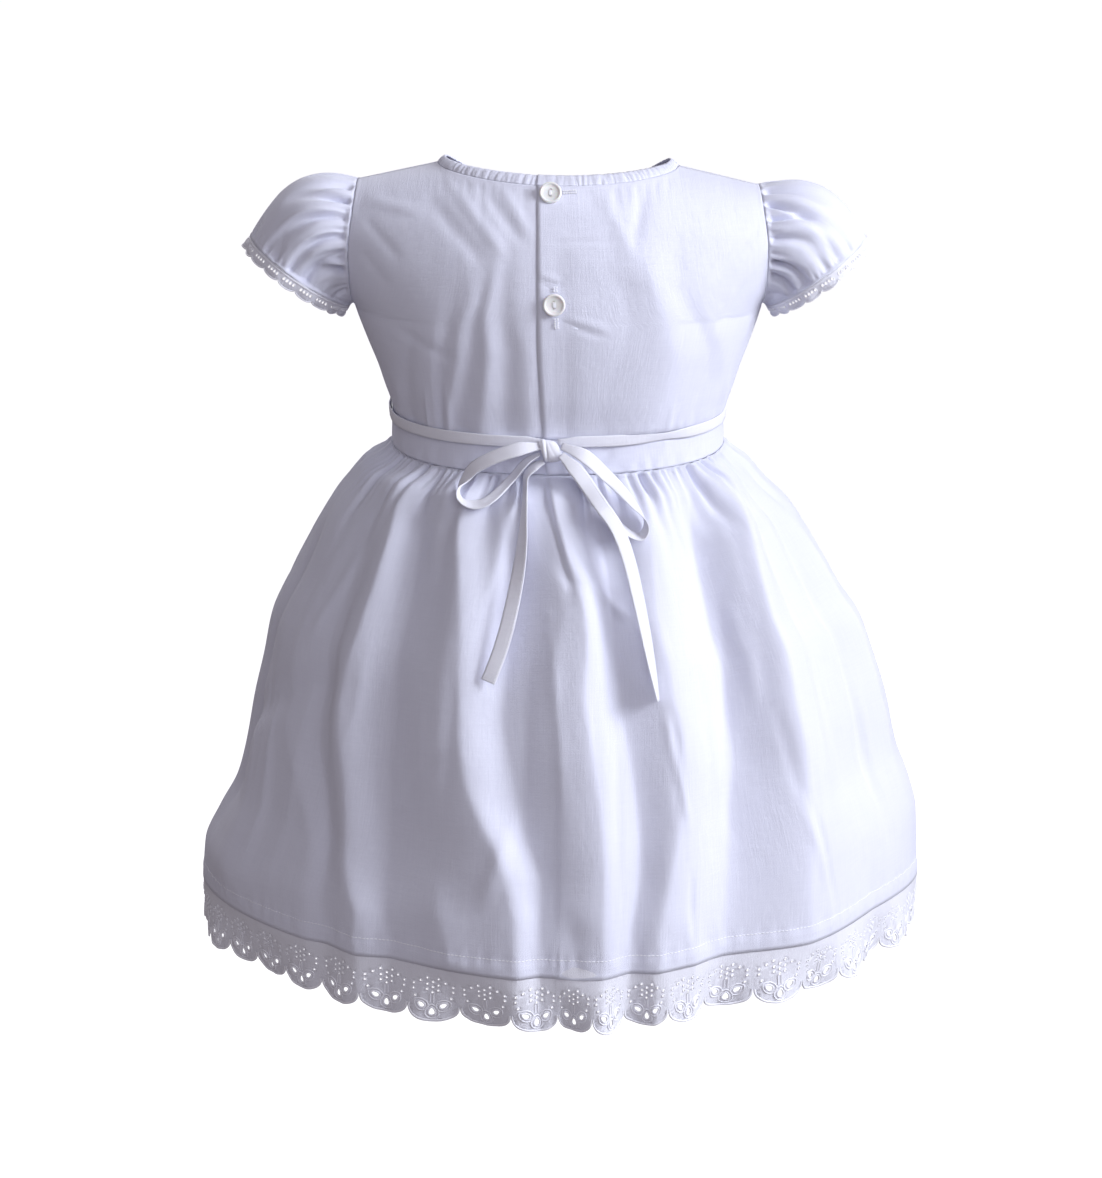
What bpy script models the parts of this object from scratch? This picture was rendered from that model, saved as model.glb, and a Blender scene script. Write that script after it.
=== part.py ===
"""Toddler's cotton dress with puffed cap sleeves, a gathered skirt and a narrow bow tie, in the shape it
takes when it is worn. The back of the dress faces -Y, its front +Y, and +Z is up. The origin is at the
middle of the neck opening, level with the shoulders, where the wearer holds the dress up.

Each cloth piece is an open sheet, bent onto the form of the dress and given its wall by Solidify.
Forms and tables are in millimetres; MM turns them into metres where a mesh is made.
"""
import math

import bmesh
import bpy
from mathutils import Matrix, Vector

MM = 0.001

# Driving sizes, in millimetres
CLOTH = 1.2             # wall of every cloth piece
SEAM = 0.4              # gap between two pieces that are sewn together
LAP_STEP = CLOTH + 0.5  # how far the under half of the back opening lies below the upper half
LAP_EDGE = -12.0        # x of the upper half's straight edge
UNDER_EDGE = 11.0       # x of the under half's hidden edge
SHOULDER_TIP = 114.0    # x of the shoulder seam's outer end
NECK_CORNER = 69.0      # x of the shoulder seam's inner end
CREST = 6.0             # height of the shoulder line, were it carried on to the middle
ARMPIT = -84.0          # z of the lowest point of an armhole
BAND_TOP = -149.0       # waistband's upper seam at centre back
BAND_HEIGHT = 20.0      # waistband, seam to seam
SIDE_RISE = 5.0         # how much higher the waist seams are at the side seams
HEM_BACK = -437.0       # skirt's lower edge at centre back
FLARE = 13.0            # skirt's stretch below the waistband in which it leaves the band's width
HEM_RISE = 5.0          # how much higher it is at the side seams
LACE_TUCK = 9.0         # hem lace's stretch hidden behind the hem
LACE_DROP = 31.5        # hem lace's stretch below the hem
NECK_BAND = 9.0         # neck binding, seam to fold
CUFF_LACE = 8.0         # width of the sleeve edging
TAPE = 8.4              # width of the tie
TAPE_RUN = 6.4          # its width where it is pulled tight round the waist
TAPE_WALL = 1.0

# Half-width across the sides by height. Above the armpits it is the width the form would have
# without armholes.
TORSO_WIDTH = [  # z, half_width
    (-172, 97.0), (-150, 96.0), (-142, 96.3), (-130, 100.5), (-119, 103.8), (-105, 109.5),
    (-92, 114.5), (-84, 117.5), (-70, 126), (-50, 138), (-25, 148), (10, 156),
]
# Half-depth, front to back, by the distance below the line of the shoulders.
TORSO_DEPTH = [  # below, half_depth
    (0, 0), (1, 15), (4, 30), (10, 44), (16, 52.5), (30, 65), (60, 77), (95, 82), (130, 79.5),
    (150, 76), (185, 77),
]
TORSO_SQUARE = 2.2
ARMHOLE = [  # z, edge_x
    (-84, 117.5), (-70, 118.2), (-48, 118.6), (-26, 116.2), (-8, SHOULDER_TIP),
]
# Drop of the bodice's neck edge below the shoulder line, at centre back and centre front.
NECK_DROP = {-1: 15.5, 1: 46.0}

SKIRT = [  # z, left, right, half_depth, squareness
    (-160, 98, 98, 76.5, 2.2), (-169, 104, 104, 82, 2.15), (-178, 114, 112, 90, 2.1),
    (-188, 123, 121, 97, 2.05), (-202, 134, 136, 105, 2.0), (-220, 144, 148, 113, 1.95),
    (-237, 153, 158, 120, 1.92), (-253, 162, 167, 126, 1.9), (-269, 169, 178, 132, 1.88),
    (-293, 174, 187, 140, 1.84), (-318, 180, 195, 147, 1.8), (-349, 186, 202, 153, 1.76),
    (-370, 192, 210, 157, 1.73), (-390, 203, 215, 160, 1.71), (-410, 212, 216, 163, 1.7),
    (-437, 214, 217, 165, 1.68), (-472, 218, 219, 166, 1.66),
]
# Long soft folds of the skirt. Places are shares of the half-width, from -1 at the left side seam to 1
# at the right, widths are degrees round the skirt, and depths are out (+) or in (-). Top and foot are
# shares of the skirt's length from the waist.
SKIRT_FOLDS_BACK = [  # at_waist, at_hem, width_top, width_foot, depth, top, foot
    (-0.93, -0.80, 4, 7, -4.0, 0.00, 0.70),
    (-0.79, -0.60, 4, 6, 7.0, 0.00, 0.98),
    (-0.62, -0.37, 4, 8, -7.0, 0.02, 1.10),
    (-0.43, -0.15, 4, 8, 8.0, 0.02, 1.10),
    (-0.30, -0.30, 3, 4, 2.5, 0.02, 0.35),
    (-0.18, 0.04, 4, 7, -7.0, 0.02, 0.95),
    (0.14, 0.22, 4, 7, 7.0, 0.05, 1.05),
    (0.34, 0.31, 4, 6, -4.0, 0.03, 1.00),
    (0.58, 0.40, 5, 8, 8.5, 0.02, 1.10),
    (0.72, 0.56, 4, 7, -6.5, 0.02, 1.10),
    (0.86, 0.79, 4, 7, 6.0, 0.02, 0.95),
]
SKIRT_FOLDS_FRONT = [  # at_waist, at_hem, width_top, width_foot, depth, top, foot
    (-0.90, -0.78, 4, 7, 5.0, 0.02, 0.95),
    (-0.70, -0.57, 4, 7, -6.5, 0.00, 1.10),
    (-0.52, -0.36, 4, 8, 7.5, 0.03, 1.05),
    (-0.27, -0.17, 4, 7, -5.5, 0.02, 1.10),
    (-0.06, 0.03, 4, 7, 7.0, 0.04, 1.10),
    (0.17, 0.22, 4, 7, -6.0, 0.02, 1.00),
    (0.41, 0.40, 5, 8, 7.0, 0.02, 1.10),
    (0.64, 0.59, 4, 7, -6.0, 0.02, 1.05),
    (0.83, 0.77, 4, 6, 5.0, 0.03, 0.98),
]
# Soft folds that rise from the waist into the bodice.
BODICE_FOLDS = [  # side, x_top, z_top, x_foot, z_foot, width, depth
    (-1, -60, -72, -68, -146, 7.0, 2.6),
    (-1, -45, -66, -60, -146, 6.0, -1.8),
    (-1, -34, -60, -33, -148, 8.0, 2.6),
    (-1, 44, -40, 36, -146, 11.0, -2.4),
    (-1, 80, -84, 77, -146, 6.0, 2.0),
    (1, -50, -80, -58, -146, 8.0, 2.4),
    (1, 8, -78, 4, -146, 9.0, 2.0),
    (1, 60, -76, 66, -146, 8.0, 2.4),
]

# Sleeve: the cuff's ring leans out and down from the underarm.
CUFF_CENTRE = (147.8, -64.4)   # x, z
CUFF_HALF = 35.2               # half the opening along the lean, from the underarm to the outer edge
CUFF_DEPTH = 40.0              # half the opening, front to back
CUFF_LEAN = math.radians(35)   # the opening's plane against the horizontal
SLEEVE_PUFF = 0.46             # how far the cloth swells between armhole and cuff
SLEEVE_FOLDS = 9
SLEEVE_FOLD_DEPTH = 2.2

# The tie's free stretches lie over the skirt. Routes run from the knot; off is the distance from the
# skirt, and turn is the tape's roll about its own run, 0 flat on the skirt and 90 on edge.
KNOT = (-4.0, -154.0)          # x, z
KNOT_RADII = (5.2, 4.4, 6.6)
KNOT_CLEAR = 0.5
LOOP_LEFT = [  # x, z, off, turn
    (-9.4, -150.8, 6.6, 30), (-21.5, -151.7, 11, 35), (-35, -156.4, 12, 40), (-47, -163.5, 12, 45),
    (-52, -170.5, 10.5, 62), (-54, -176, 9, 80), (-52, -180, 8, 95), (-46.5, -182, 7.2, 110),
    (-40.5, -181, 6.8, 118), (-34, -177, 6.6, 118), (-25.5, -169.3, 6.4, 112), (-18, -160.5, 6.2, 108),
    (-10.2, -155.8, 6.2, 105),
]
LOOP_RIGHT = [  # x, z, off, turn
    (1.9, -150.8, 6.3, -25), (15, -155.6, 12, -35), (28, -167.5, 13, -45), (37.5, -177.5, 12.5, -58),
    (44, -185.8, 10.5, -75), (46.5, -193, 8.8, -92), (44, -197.8, 7.6, -105), (38.2, -196, 7, -112),
    (31.5, -191, 6.8, -115), (23.5, -184.5, 7, -112), (14, -173.5, 7, -108), (2.2, -160.0, 5.2, -104),
]
TAIL_LEFT = [  # x, z, off, turn
    (-8.2, -159.6, 6.0, 60), (-14, -162.8, 7.4, 66), (-18, -167.5, 8.6, 72), (-18.4, -176, 8.3, 70),
    (-18.6, -187, 7.5, 60), (-19.5, -200, 6.7, 45), (-21.5, -215.5, 6.2, 28), (-24.5, -231, 5.8, 16),
    (-28, -245.5, 5.6, 10), (-31.8, -257.5, 5.3, 8), (-35.5, -267, 5.1, 8), (-38, -273, 5, 8),
]
TAIL_RIGHT = [  # x, z, off, turn
    (1.6, -155.0, 10.2, -20), (10.5, -163, 16, -22), (18.5, -173.5, 19, -24), (26.3, -185, 18, -26),
    (33, -198, 15, -28), (38, -212.5, 13, -32), (42.2, -228.5, 11, -38), (45.7, -243.5, 10, -46),
    (48.7, -257.5, 9, -56), (51.5, -271, 8.5, -68), (53.8, -283.5, 8, -78),
]

WHITE_COTTON = (0.86, 0.86, 0.93)
WHITE_LACE = (0.88, 0.88, 0.94)
WHITE_TAPE = (0.90, 0.90, 0.96)
PEARL = (0.86, 0.85, 0.83)


# ---------------------------------------------------------------- tables and curves

def along(rows, at, column=1):
    """Value of a column where the first column is at, joined smoothly row to row."""
    keys = [row[0] for row in rows]
    values = [row[column] for row in rows]
    if keys[0] > keys[-1]:
        keys.reverse()
        values.reverse()
    if at <= keys[0]:
        return values[0]
    if at >= keys[-1]:
        return values[-1]
    i = max(k for k in range(len(keys) - 1) if keys[k] <= at)
    span = keys[i + 1] - keys[i]
    rise = (values[i + 1] - values[i]) / span

    def slope(k):
        if k == 0 or k == len(keys) - 1:
            return rise
        before = (values[k] - values[k - 1]) / (keys[k] - keys[k - 1])
        after = (values[k + 1] - values[k]) / (keys[k + 1] - keys[k])
        if before * after <= 0:
            return 0.0
        return 2 * before * after / (before + after)

    t = (at - keys[i]) / span
    start = slope(i) * span
    end = slope(i + 1) * span
    return (values[i] * (2 * t**3 - 3 * t**2 + 1) + start * (t**3 - 2 * t**2 + t)
            + values[i + 1] * (3 * t**2 - 2 * t**3) + end * (t**3 - t**2))


def mix(a, b, t):
    return a + (b - a) * t


def ease(low, high, value):
    """0 below low, 1 above high, and a smooth rise between."""
    t = min(max((value - low) / (high - low), 0.0), 1.0)
    return t * t * (3 - 2 * t)


def through(points, t):
    """Point at t, from 0 to 1, on a smooth curve through equally weighted points."""
    place = min(max(t, 0.0), 1.0) * (len(points) - 1)
    i = min(int(place), len(points) - 2)
    f = place - i
    p1 = points[i]
    p2 = points[i + 1]
    p0 = points[i - 1] if i else p1 * 2 - p2
    p3 = points[i + 2] if i + 2 < len(points) else p2 * 2 - p1
    return 0.5 * (2 * p1 + (p2 - p0) * f + (2 * p0 - 5 * p1 + 4 * p2 - p3) * f**2
                  + (3 * p1 - p0 - 3 * p2 + p3) * f**3)


# ---------------------------------------------------------------- form of the bodice

def crest(x):
    """Height of the shoulder line at x; the right shoulder sits a little lower."""
    tilt = -0.015 * x
    if abs(x) < NECK_CORNER:
        return CREST - 10 * (x / NECK_CORNER)**2 + tilt
    return CREST - 10 - 0.222 * (abs(x) - NECK_CORNER) + tilt


def reach(z):
    """Half-width of the bodice panels at a height: the side seam, or the armhole's edge above it."""
    width = along(TORSO_WIDTH, z)
    if z > ARMPIT:
        width = min(width, along(ARMHOLE, z))
    return width


def widest_angle(z):
    share = min(reach(z) / along(TORSO_WIDTH, z), 1.0)
    return math.asin(share**(TORSO_SQUARE / 2))


def across_at(x, z):
    """Place of x between the panel's edges at a height, from -1 to 1."""
    share = min(abs(x) / along(TORSO_WIDTH, z), 1.0)
    return math.copysign(math.asin(share**(TORSO_SQUARE / 2)) / widest_angle(z), x)


def bodice_fold(side, x, z):
    """How far the bodice's folds stand out at a point."""
    rise = 0.0
    for row_side, x_top, z_top, x_foot, z_foot, width, depth in BODICE_FOLDS:
        if row_side != side:
            continue
        t = (z_top - z) / (z_top - z_foot)
        middle = mix(x_top, x_foot, min(max(t, 0), 1))
        rise += depth * math.exp(-((x - middle) / width)**2) * ease(0, 0.5, t) * ease(1.25, 0.95, t)
    return rise


def torso(side, across, z):
    """Point of the bodice or waistband: side is -1 for the back and 1 for the front."""
    width = along(TORSO_WIDTH, z)
    angle = across * widest_angle(z)
    x = math.copysign(width * abs(math.sin(angle))**(2 / TORSO_SQUARE), across)
    below = max(crest(x) - z, 0.0)
    round_off = math.cos(angle)**(2 / TORSO_SQUARE) if abs(angle) < math.pi / 2 - 1e-6 else 0.0
    y = (along(TORSO_DEPTH, below) + bodice_fold(side, x, z)) * round_off
    return Vector((x, side * (y + SEAM / 2), z))


def torso_out(side, across, z):
    """Outward direction of the bodice at a point."""
    inner = max(min(across, 0.98), -0.98)
    sideways = torso(side, inner + 0.02, z) - torso(side, inner - 0.02, z)
    upwards = torso(side, inner, z + 0.5) - torso(side, inner, z - 0.5)
    out = sideways.cross(upwards).normalized()
    return out if out.y * side > 0 else -out


def torso_top(side, across):
    """Height of a bodice panel's upper edge: the neck edge, then the shoulder seam."""
    z = -8.0
    for _ in range(6):
        x = torso(side, across, z).x
        z = crest(x)
        if abs(x) < NECK_CORNER:
            z -= NECK_DROP[side] * (1 - (x / NECK_CORNER)**2)
    return z


def band_seam(across, lower=False):
    """Height of the waistband's seams, a little higher at the sides."""
    return BAND_TOP + SIDE_RISE * across**2 - (BAND_HEIGHT if lower else 0)


# ---------------------------------------------------------------- form of the skirt

def skirt_fold(side, angle, share):
    """How far a fold stands out (+) or in (-) at an angle round the skirt, share of the way down."""
    rise = 0.0
    for at_waist, at_hem, width_top, width_foot, depth, top, foot in (
            SKIRT_FOLDS_BACK if side < 0 else SKIRT_FOLDS_FRONT):
        middle = mix(math.asin(at_waist), math.asin(at_hem), min(share, 1.1))
        width = math.radians(mix(width_top, width_foot, min(share, 1.1)))
        fade = ease(top - 0.02, top + 0.22, share) * ease(foot + 0.12, foot - 0.25, share)
        rise += depth * math.exp(-((angle - middle) / width)**2) * fade
    return rise * ease(math.pi / 2, math.radians(72), abs(angle))


def skirt(side, angle, z):
    """Point of the skirt at an angle from centre back or centre front, and its outward direction."""
    width = along(SKIRT, z, 1 if angle < 0 else 2)
    depth = along(SKIRT, z, 3)
    square = along(SKIRT, z, 4)
    x = math.copysign(width * abs(math.sin(angle))**(2 / square), angle)
    y = depth * max(math.cos(angle), 0.0)**(2 / square)
    out = Vector((math.copysign((abs(x) / width)**(square - 1) / width, x),
                  side * (max(y, 0) / depth)**(square - 1) / depth, 0)).normalized()
    share = (BAND_TOP - BAND_HEIGHT - z) / (BAND_TOP - BAND_HEIGHT - HEM_BACK)
    point = Vector((x, side * (y + SEAM / 2), z)) + out * skirt_fold(side, angle, share)
    across = angle / (math.pi / 2)
    band = torso(side, across, z)
    return band.lerp(point, ease(-FLARE / 4, FLARE, band_seam(across, lower=True) - z)), out


def hem_height(angle):
    return HEM_BACK + HEM_RISE * math.sin(angle)**2


def back_at(x, z):
    """Point of the dress's back at x and z, on the skirt or, above it, on the waistband."""
    if z > BAND_TOP - BAND_HEIGHT:
        return torso(-1, across_at(x, z), z), Vector((0, -1, 0))
    angle = math.asin(min(abs(x) / along(SKIRT, z, 1), 1)) * (1 if x > 0 else -1)
    for _ in range(8):
        point, out = skirt(-1, angle, z)
        angle += (x - point.x) / along(SKIRT, z, 1)
    return point, out


# ---------------------------------------------------------------- meshes, materials and collections

for old in list(bpy.data.objects):
    bpy.data.objects.remove(old)
dress = bpy.data.collections.new("toddler_dress")
bpy.context.scene.collection.children.link(dress)


def finish(name, color, roughness):
    """A plain Principled material for one piece."""
    material = bpy.data.materials.new(name)
    material.use_nodes = True
    shader = material.node_tree.nodes["Principled BSDF"]
    shader.inputs["Base Color"].default_value = (*color, 1)
    shader.inputs["Roughness"].default_value = roughness
    shader.inputs["Metallic"].default_value = 0
    return material


def add_piece(name, bm, color, roughness, sharp=40):
    """Puts a mesh into the dress's collection as a smooth-shaded object."""
    mesh = bpy.data.meshes.new(name)
    bm.to_mesh(mesh)
    bm.free()
    mesh.shade_smooth()
    mesh.set_sharp_from_angle(angle=math.radians(sharp))
    mesh.materials.append(finish(name, color, roughness))
    piece = bpy.data.objects.new(name, mesh)
    dress.objects.link(piece)
    return piece


def sheet(name, columns, rows, place, inside, wall=CLOTH, color=WHITE_COTTON, roughness=0.85,
          closed=False):
    """A cloth piece: a grid bent by place(u, v), both from 0 to 1, its face turned away from the point
    inside, with its wall on the inner side. A closed piece joins its first column to its last.
    """
    bm = bmesh.new()
    bmesh.ops.create_grid(bm, x_segments=columns, y_segments=rows, size=0.5)
    for vert in bm.verts:
        vert.co = place(vert.co.x + 0.5, vert.co.y + 0.5) * MM
    if closed:
        bmesh.ops.remove_doubles(bm, verts=bm.verts, dist=0.01 * MM)
    bm.normal_update()
    middle = Vector(inside) * MM
    outward = sum((face.calc_center_median() - middle).dot(face.normal) * face.calc_area()
                  for face in bm.faces)
    if outward < 0:
        bmesh.ops.reverse_faces(bm, faces=bm.faces)
    piece = add_piece(name, bm, color, roughness)
    solid = piece.modifiers.new("wall", "SOLIDIFY")
    solid.thickness = wall * MM
    solid.offset = -1
    return piece


# ---------------------------------------------------------------- bodice

INSIDE_BODICE = (0, 0, -90)
BODICE_ROWS = 11
NECK_ACROSS = across_at(NECK_CORNER, crest(NECK_CORNER))


def bodice_height(side, across, v):
    """Height at v, 0 at the waist seam and 1 at the upper edge, with rows closer together upwards."""
    top = torso_top(side, across)
    return mix(top, band_seam(across) + SEAM / 2, (1 - v)**2)


def split_columns(u, outer, corner, inner, shoulder_share):
    """Spreads columns from the outer edge over the shoulder seam, then evenly round the neck curve."""
    if u < shoulder_share:
        return mix(outer, corner, u / shoulder_share)
    round_neck = math.sin(math.pi / 2 * (1 - u) / (1 - shoulder_share))
    return mix(inner, corner, round_neck)


def place_front(u, v):
    hand = 1 if u > 0.5 else -1
    across = split_columns(1 - 2 * abs(u - 0.5), hand, hand * NECK_ACROSS, 0.0, 0.4)
    return torso(1, across, bodice_height(1, across, v))


def lap_depth(x):
    """How far the under half of the back opening dips beneath the upper half."""
    return LAP_STEP * ease(LAP_EDGE - 14, LAP_EDGE - 2, x)


def place_back(hand, u, v):
    """Back half on one hand, -1 left and 1 right, from its side seam to its edge at centre back."""
    edge_x = UNDER_EDGE if hand < 0 else LAP_EDGE
    across = split_columns(u, hand, hand * NECK_ACROSS, 0.0, 0.4)
    z = bodice_height(-1, across, v)
    if u > 0.4:
        inner = across_at(edge_x, z)
        across = split_columns(u, hand, hand * NECK_ACROSS, inner, 0.4)
        z = bodice_height(-1, across, v)
    point = torso(-1, across, z)
    if hand < 0:
        point -= torso_out(-1, across, z) * lap_depth(point.x)
    return point


sheet("bodice_front", 20, BODICE_ROWS, place_front, INSIDE_BODICE)
sheet("bodice_back_left", 10, BODICE_ROWS, lambda u, v: place_back(-1, u, v), INSIDE_BODICE)
sheet("bodice_back_right", 10, BODICE_ROWS, lambda u, v: place_back(1, u, v), INSIDE_BODICE)


# ---------------------------------------------------------------- neck binding

NECK_TOP_X = 64.5                   # the folded edge's half-width
NECK_TOP_Y = {-1: 45.0, 1: 64.0}    # its distance back and forward of the shoulders
NECK_LIP = 4.0                      # its height over the shoulder seam's inner end
NECK_TOP_DROP = {-1: 14.0, 1: 42.0}
NECK_CLEAR = 1.4                    # gap to the bodice, whose edge runs in longer straight stretches


def place_neck(u, v):
    """Binding from its upper end at centre back, round the front, to its lower end beneath it."""
    start = math.asin(LAP_EDGE / NECK_CORNER)
    end = 2 * math.pi + math.asin(UNDER_EDGE / NECK_CORNER)
    turn = mix(start, end, u)
    side = 1 if math.cos(turn) < 0 else -1
    x = NECK_CORNER * math.sin(turn)
    z = crest(x) - NECK_DROP[side] * (1 - (x / NECK_CORNER)**2)
    across = across_at(x, z)
    foot = torso(side, across, z)
    top = Vector((NECK_TOP_X * math.sin(turn), side * NECK_TOP_Y[side] * abs(math.cos(turn)),
                  crest(x) + NECK_LIP - NECK_TOP_DROP[side] * math.cos(turn)**2))
    point = foot.lerp(top, mix(NECK_CLEAR / NECK_BAND, 1, v))
    if turn > math.pi * 1.5:
        point -= torso_out(side, across, z) * lap_depth(point.x)
    return point


sheet("neck_binding", 44, 1, place_neck, (0, 0, -12))


# ---------------------------------------------------------------- waistband

WAIST_ROWS = 2


def place_band(side, first, last, u, v):
    """Waistband between two places across, first and last, from -1 to 1."""
    across = mix(first, last, u)
    z = mix(band_seam(across, lower=True) + SEAM / 2, band_seam(across) - SEAM / 2, v)
    return torso(side, across, z)


def place_band_left(u, v):
    point = place_band(-1, -1, across_at(UNDER_EDGE, BAND_TOP - 10), u, v)
    point.y += lap_depth(point.x)   # the band stands upright, so inwards is +Y here
    return point


sheet("waistband_front", 20, WAIST_ROWS, lambda u, v: place_band(1, -1, 1, u, v), INSIDE_BODICE)
sheet("waistband_back_left", 14, WAIST_ROWS, place_band_left, INSIDE_BODICE)
sheet("waistband_back_right", 12, WAIST_ROWS,
      lambda u, v: place_band(-1, across_at(LAP_EDGE, BAND_TOP - 10), 1, u, v), INSIDE_BODICE)


# ---------------------------------------------------------------- sleeves and their lace

def armhole_point(hand, turn):
    """Point of the armhole's edge; turn runs from the shoulder, down the back, to the armpit and up
    the front.
    """
    top = torso_top(-1, hand)
    z = mix(ARMPIT, top, (1 + math.cos(turn)) / 2)
    side = -1 if math.sin(turn) >= 0 else 1
    point = torso(side, hand, z)
    point.x += hand * 1.5 * SEAM
    if abs(math.sin(turn)) < 1e-6:
        point.y = 0   # the ring closes here, between back and front
    return point


def cuff_point(hand, turn, beyond=0.0):
    """Point of the cuff's ring, or beyond it along the sleeve."""
    outward = Vector((math.cos(CUFF_LEAN), 0, math.sin(CUFF_LEAN)))
    down = Vector((math.sin(CUFF_LEAN), 0, -math.cos(CUFF_LEAN)))
    centre = Vector((CUFF_CENTRE[0], 0, CUFF_CENTRE[1]))
    point = (centre + outward * (CUFF_HALF * math.cos(turn)) + down * beyond
             + Vector((0, -CUFF_DEPTH * math.sin(turn), 0)))
    return Vector((hand * point.x, point.y, point.z))


def place_sleeve(hand, u, v):
    """Puffed sleeve from the armhole, v 0, to the cuff, v 1."""
    turn = 2 * math.pi * u
    start = armhole_point(hand, turn)
    end = cuff_point(hand, turn)
    length = (end - start).length
    leave = Vector((hand, -0.35 * math.sin(turn), 0.30 * math.cos(turn))).normalized()
    arrive = Vector((hand * 0.50, 0, -0.86))
    puff = length * SLEEVE_PUFF
    p1 = start + leave * puff
    p2 = end - arrive * puff
    point = (start * (1 - v)**3 + 3 * p1 * v * (1 - v)**2 + 3 * p2 * v**2 * (1 - v) + end * v**3)
    swell = Vector((0, -math.sin(turn), math.cos(turn) * 0.5))
    depth = SLEEVE_FOLD_DEPTH * math.cos(SLEEVE_FOLDS * turn) * v * (1 - v) * 4
    return point + swell * depth * ease(8, 40, length)


def place_cuff_lace(hand, u, v):
    turn = 2 * math.pi * u
    reach_out = 2 * SEAM + v * CUFF_LACE
    return cuff_point(hand, turn, reach_out)


for hand, word in ((-1, "left"), (1, "right")):
    inside_sleeve = (hand * 140, 0, -55)
    sheet(f"sleeve_{word}", 30, 5, lambda u, v, hand=hand: place_sleeve(hand, u, v), inside_sleeve,
          closed=True)
    sheet(f"sleeve_lace_{word}", 30, 1, lambda u, v, hand=hand: place_cuff_lace(hand, u, v),
          (hand * CUFF_CENTRE[0], 0, CUFF_CENTRE[1]), color=WHITE_LACE, closed=True)


# ---------------------------------------------------------------- skirt and hem lace

INSIDE_SKIRT = (0, 0, -300)
INSIDE_LACE = (0, 0, -455)
SKIRT_ROWS = 9
BACK_COLUMNS = 40
FRONT_COLUMNS = 36
LACE_INSET = CLOTH + 0.9
LACE_WAVE = 1.8
LACE_WAVES = 15
LACE_ROWS = 2


def place_skirt(side, u, v):
    """Skirt panel from the hem, v 0, to the waist seam, v 1, with rows closer together upwards."""
    angle = mix(-math.pi / 2, math.pi / 2, u)
    top = band_seam(angle / (math.pi / 2), lower=True) - SEAM / 2
    return skirt(side, angle, mix(top, hem_height(angle), (1 - v)**1.5))[0]


def place_lace(side, u, v):
    """Hem lace: against the inside of the hem above, with its own soft waves below the hem."""
    angle = mix(-math.pi / 2, math.pi / 2, u)
    hem = place_skirt(side, u, 0)
    up = place_skirt(side, u, 1 / SKIRT_ROWS) - hem
    out = skirt(side, angle, hem_height(angle))[1]
    rise = mix(-LACE_DROP, LACE_TUCK, v)
    below = max(-rise, 0) / LACE_DROP
    wave = LACE_WAVE * math.sin(angle * LACE_WAVES + side) * ease(math.pi / 2, 1.3, abs(angle))
    return hem + up * (rise / up.z) - out * (LACE_INSET + (LACE_WAVE + wave) * below)


for side, word, columns in ((-1, "back", BACK_COLUMNS), (1, "front", FRONT_COLUMNS)):
    sheet(f"skirt_{word}", columns, SKIRT_ROWS, lambda u, v, side=side: place_skirt(side, u, v),
          INSIDE_SKIRT)
    sheet(f"hem_lace_{word}", columns, LACE_ROWS, lambda u, v, side=side: place_lace(side, u, v),
          INSIDE_LACE, color=WHITE_LACE)


# ---------------------------------------------------------------- buttons

BUTTON_PROFILE = [  # radius, height: from the middle of the face, over the rim, to the back
    (0.0, 1.5), (4.3, 1.5), (5.0, 2.1), (5.8, 2.1), (6.3, 1.4), (6.0, 0.5), (5.2, 0.0), (0.0, 0.0),
]
BUTTON_STEPS = 16
BUTTON_CLEAR = 0.4
BUTTONS = [  # name, x, z
    ("button_top", -4.3, -13.5), ("button_lower", -2.3, -71.5),
]


def add_button(name, x, z):
    """A round rimmed button, turned about its axis, on the upper half of the back opening."""
    bm = bmesh.new()
    ring = [bm.verts.new(Vector((radius, 0, height)) * MM) for radius, height in BUTTON_PROFILE]
    for upper, lower in zip(ring, ring[1:]):
        bm.edges.new((upper, lower))
    piece = add_piece(name, bm, PEARL, 0.3)
    turned = piece.modifiers.new("turned", "SCREW")
    turned.steps = BUTTON_STEPS
    turned.render_steps = BUTTON_STEPS
    turned.use_merge_vertices = True
    turned.merge_threshold = 0.00002
    seat = torso(-1, across_at(x, z), z)
    out = torso_out(-1, across_at(x, z), z)
    up = Vector((1, 0, 0)).cross(out).normalized()
    if up.z < 0:
        up = -up
    right = up.cross(out)
    place = Matrix((right, up, out)).transposed().to_4x4()
    place.translation = (seat + out * BUTTON_CLEAR) * MM
    piece.matrix_world = place


for name, x, z in BUTTONS:
    add_button(name, x, z)


# ---------------------------------------------------------------- waist tie

TIE_OFF = 1.2   # between the waistband and the tie over it


def tie_height(across):
    return BAND_TOP + 1.5 + SIDE_RISE * across**2 - 2.0 * (1 - abs(across))


def place_run(hand, u, v):
    """The tie round the waist, from the side seam, u 0, to the knot."""
    knot_edge = KNOT[0] + hand * (KNOT_RADII[0] + SEAM)
    last = across_at(knot_edge, BAND_TOP)
    across = mix(hand * 0.985, last, u)
    z = tie_height(across) + (v - 0.5) * TAPE_RUN
    point = torso(-1, across, z)
    around = Vector((point.x / 96**2, point.y / 76**2, 0)).normalized()
    return point + around * (TIE_OFF + TAPE_WALL)


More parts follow.
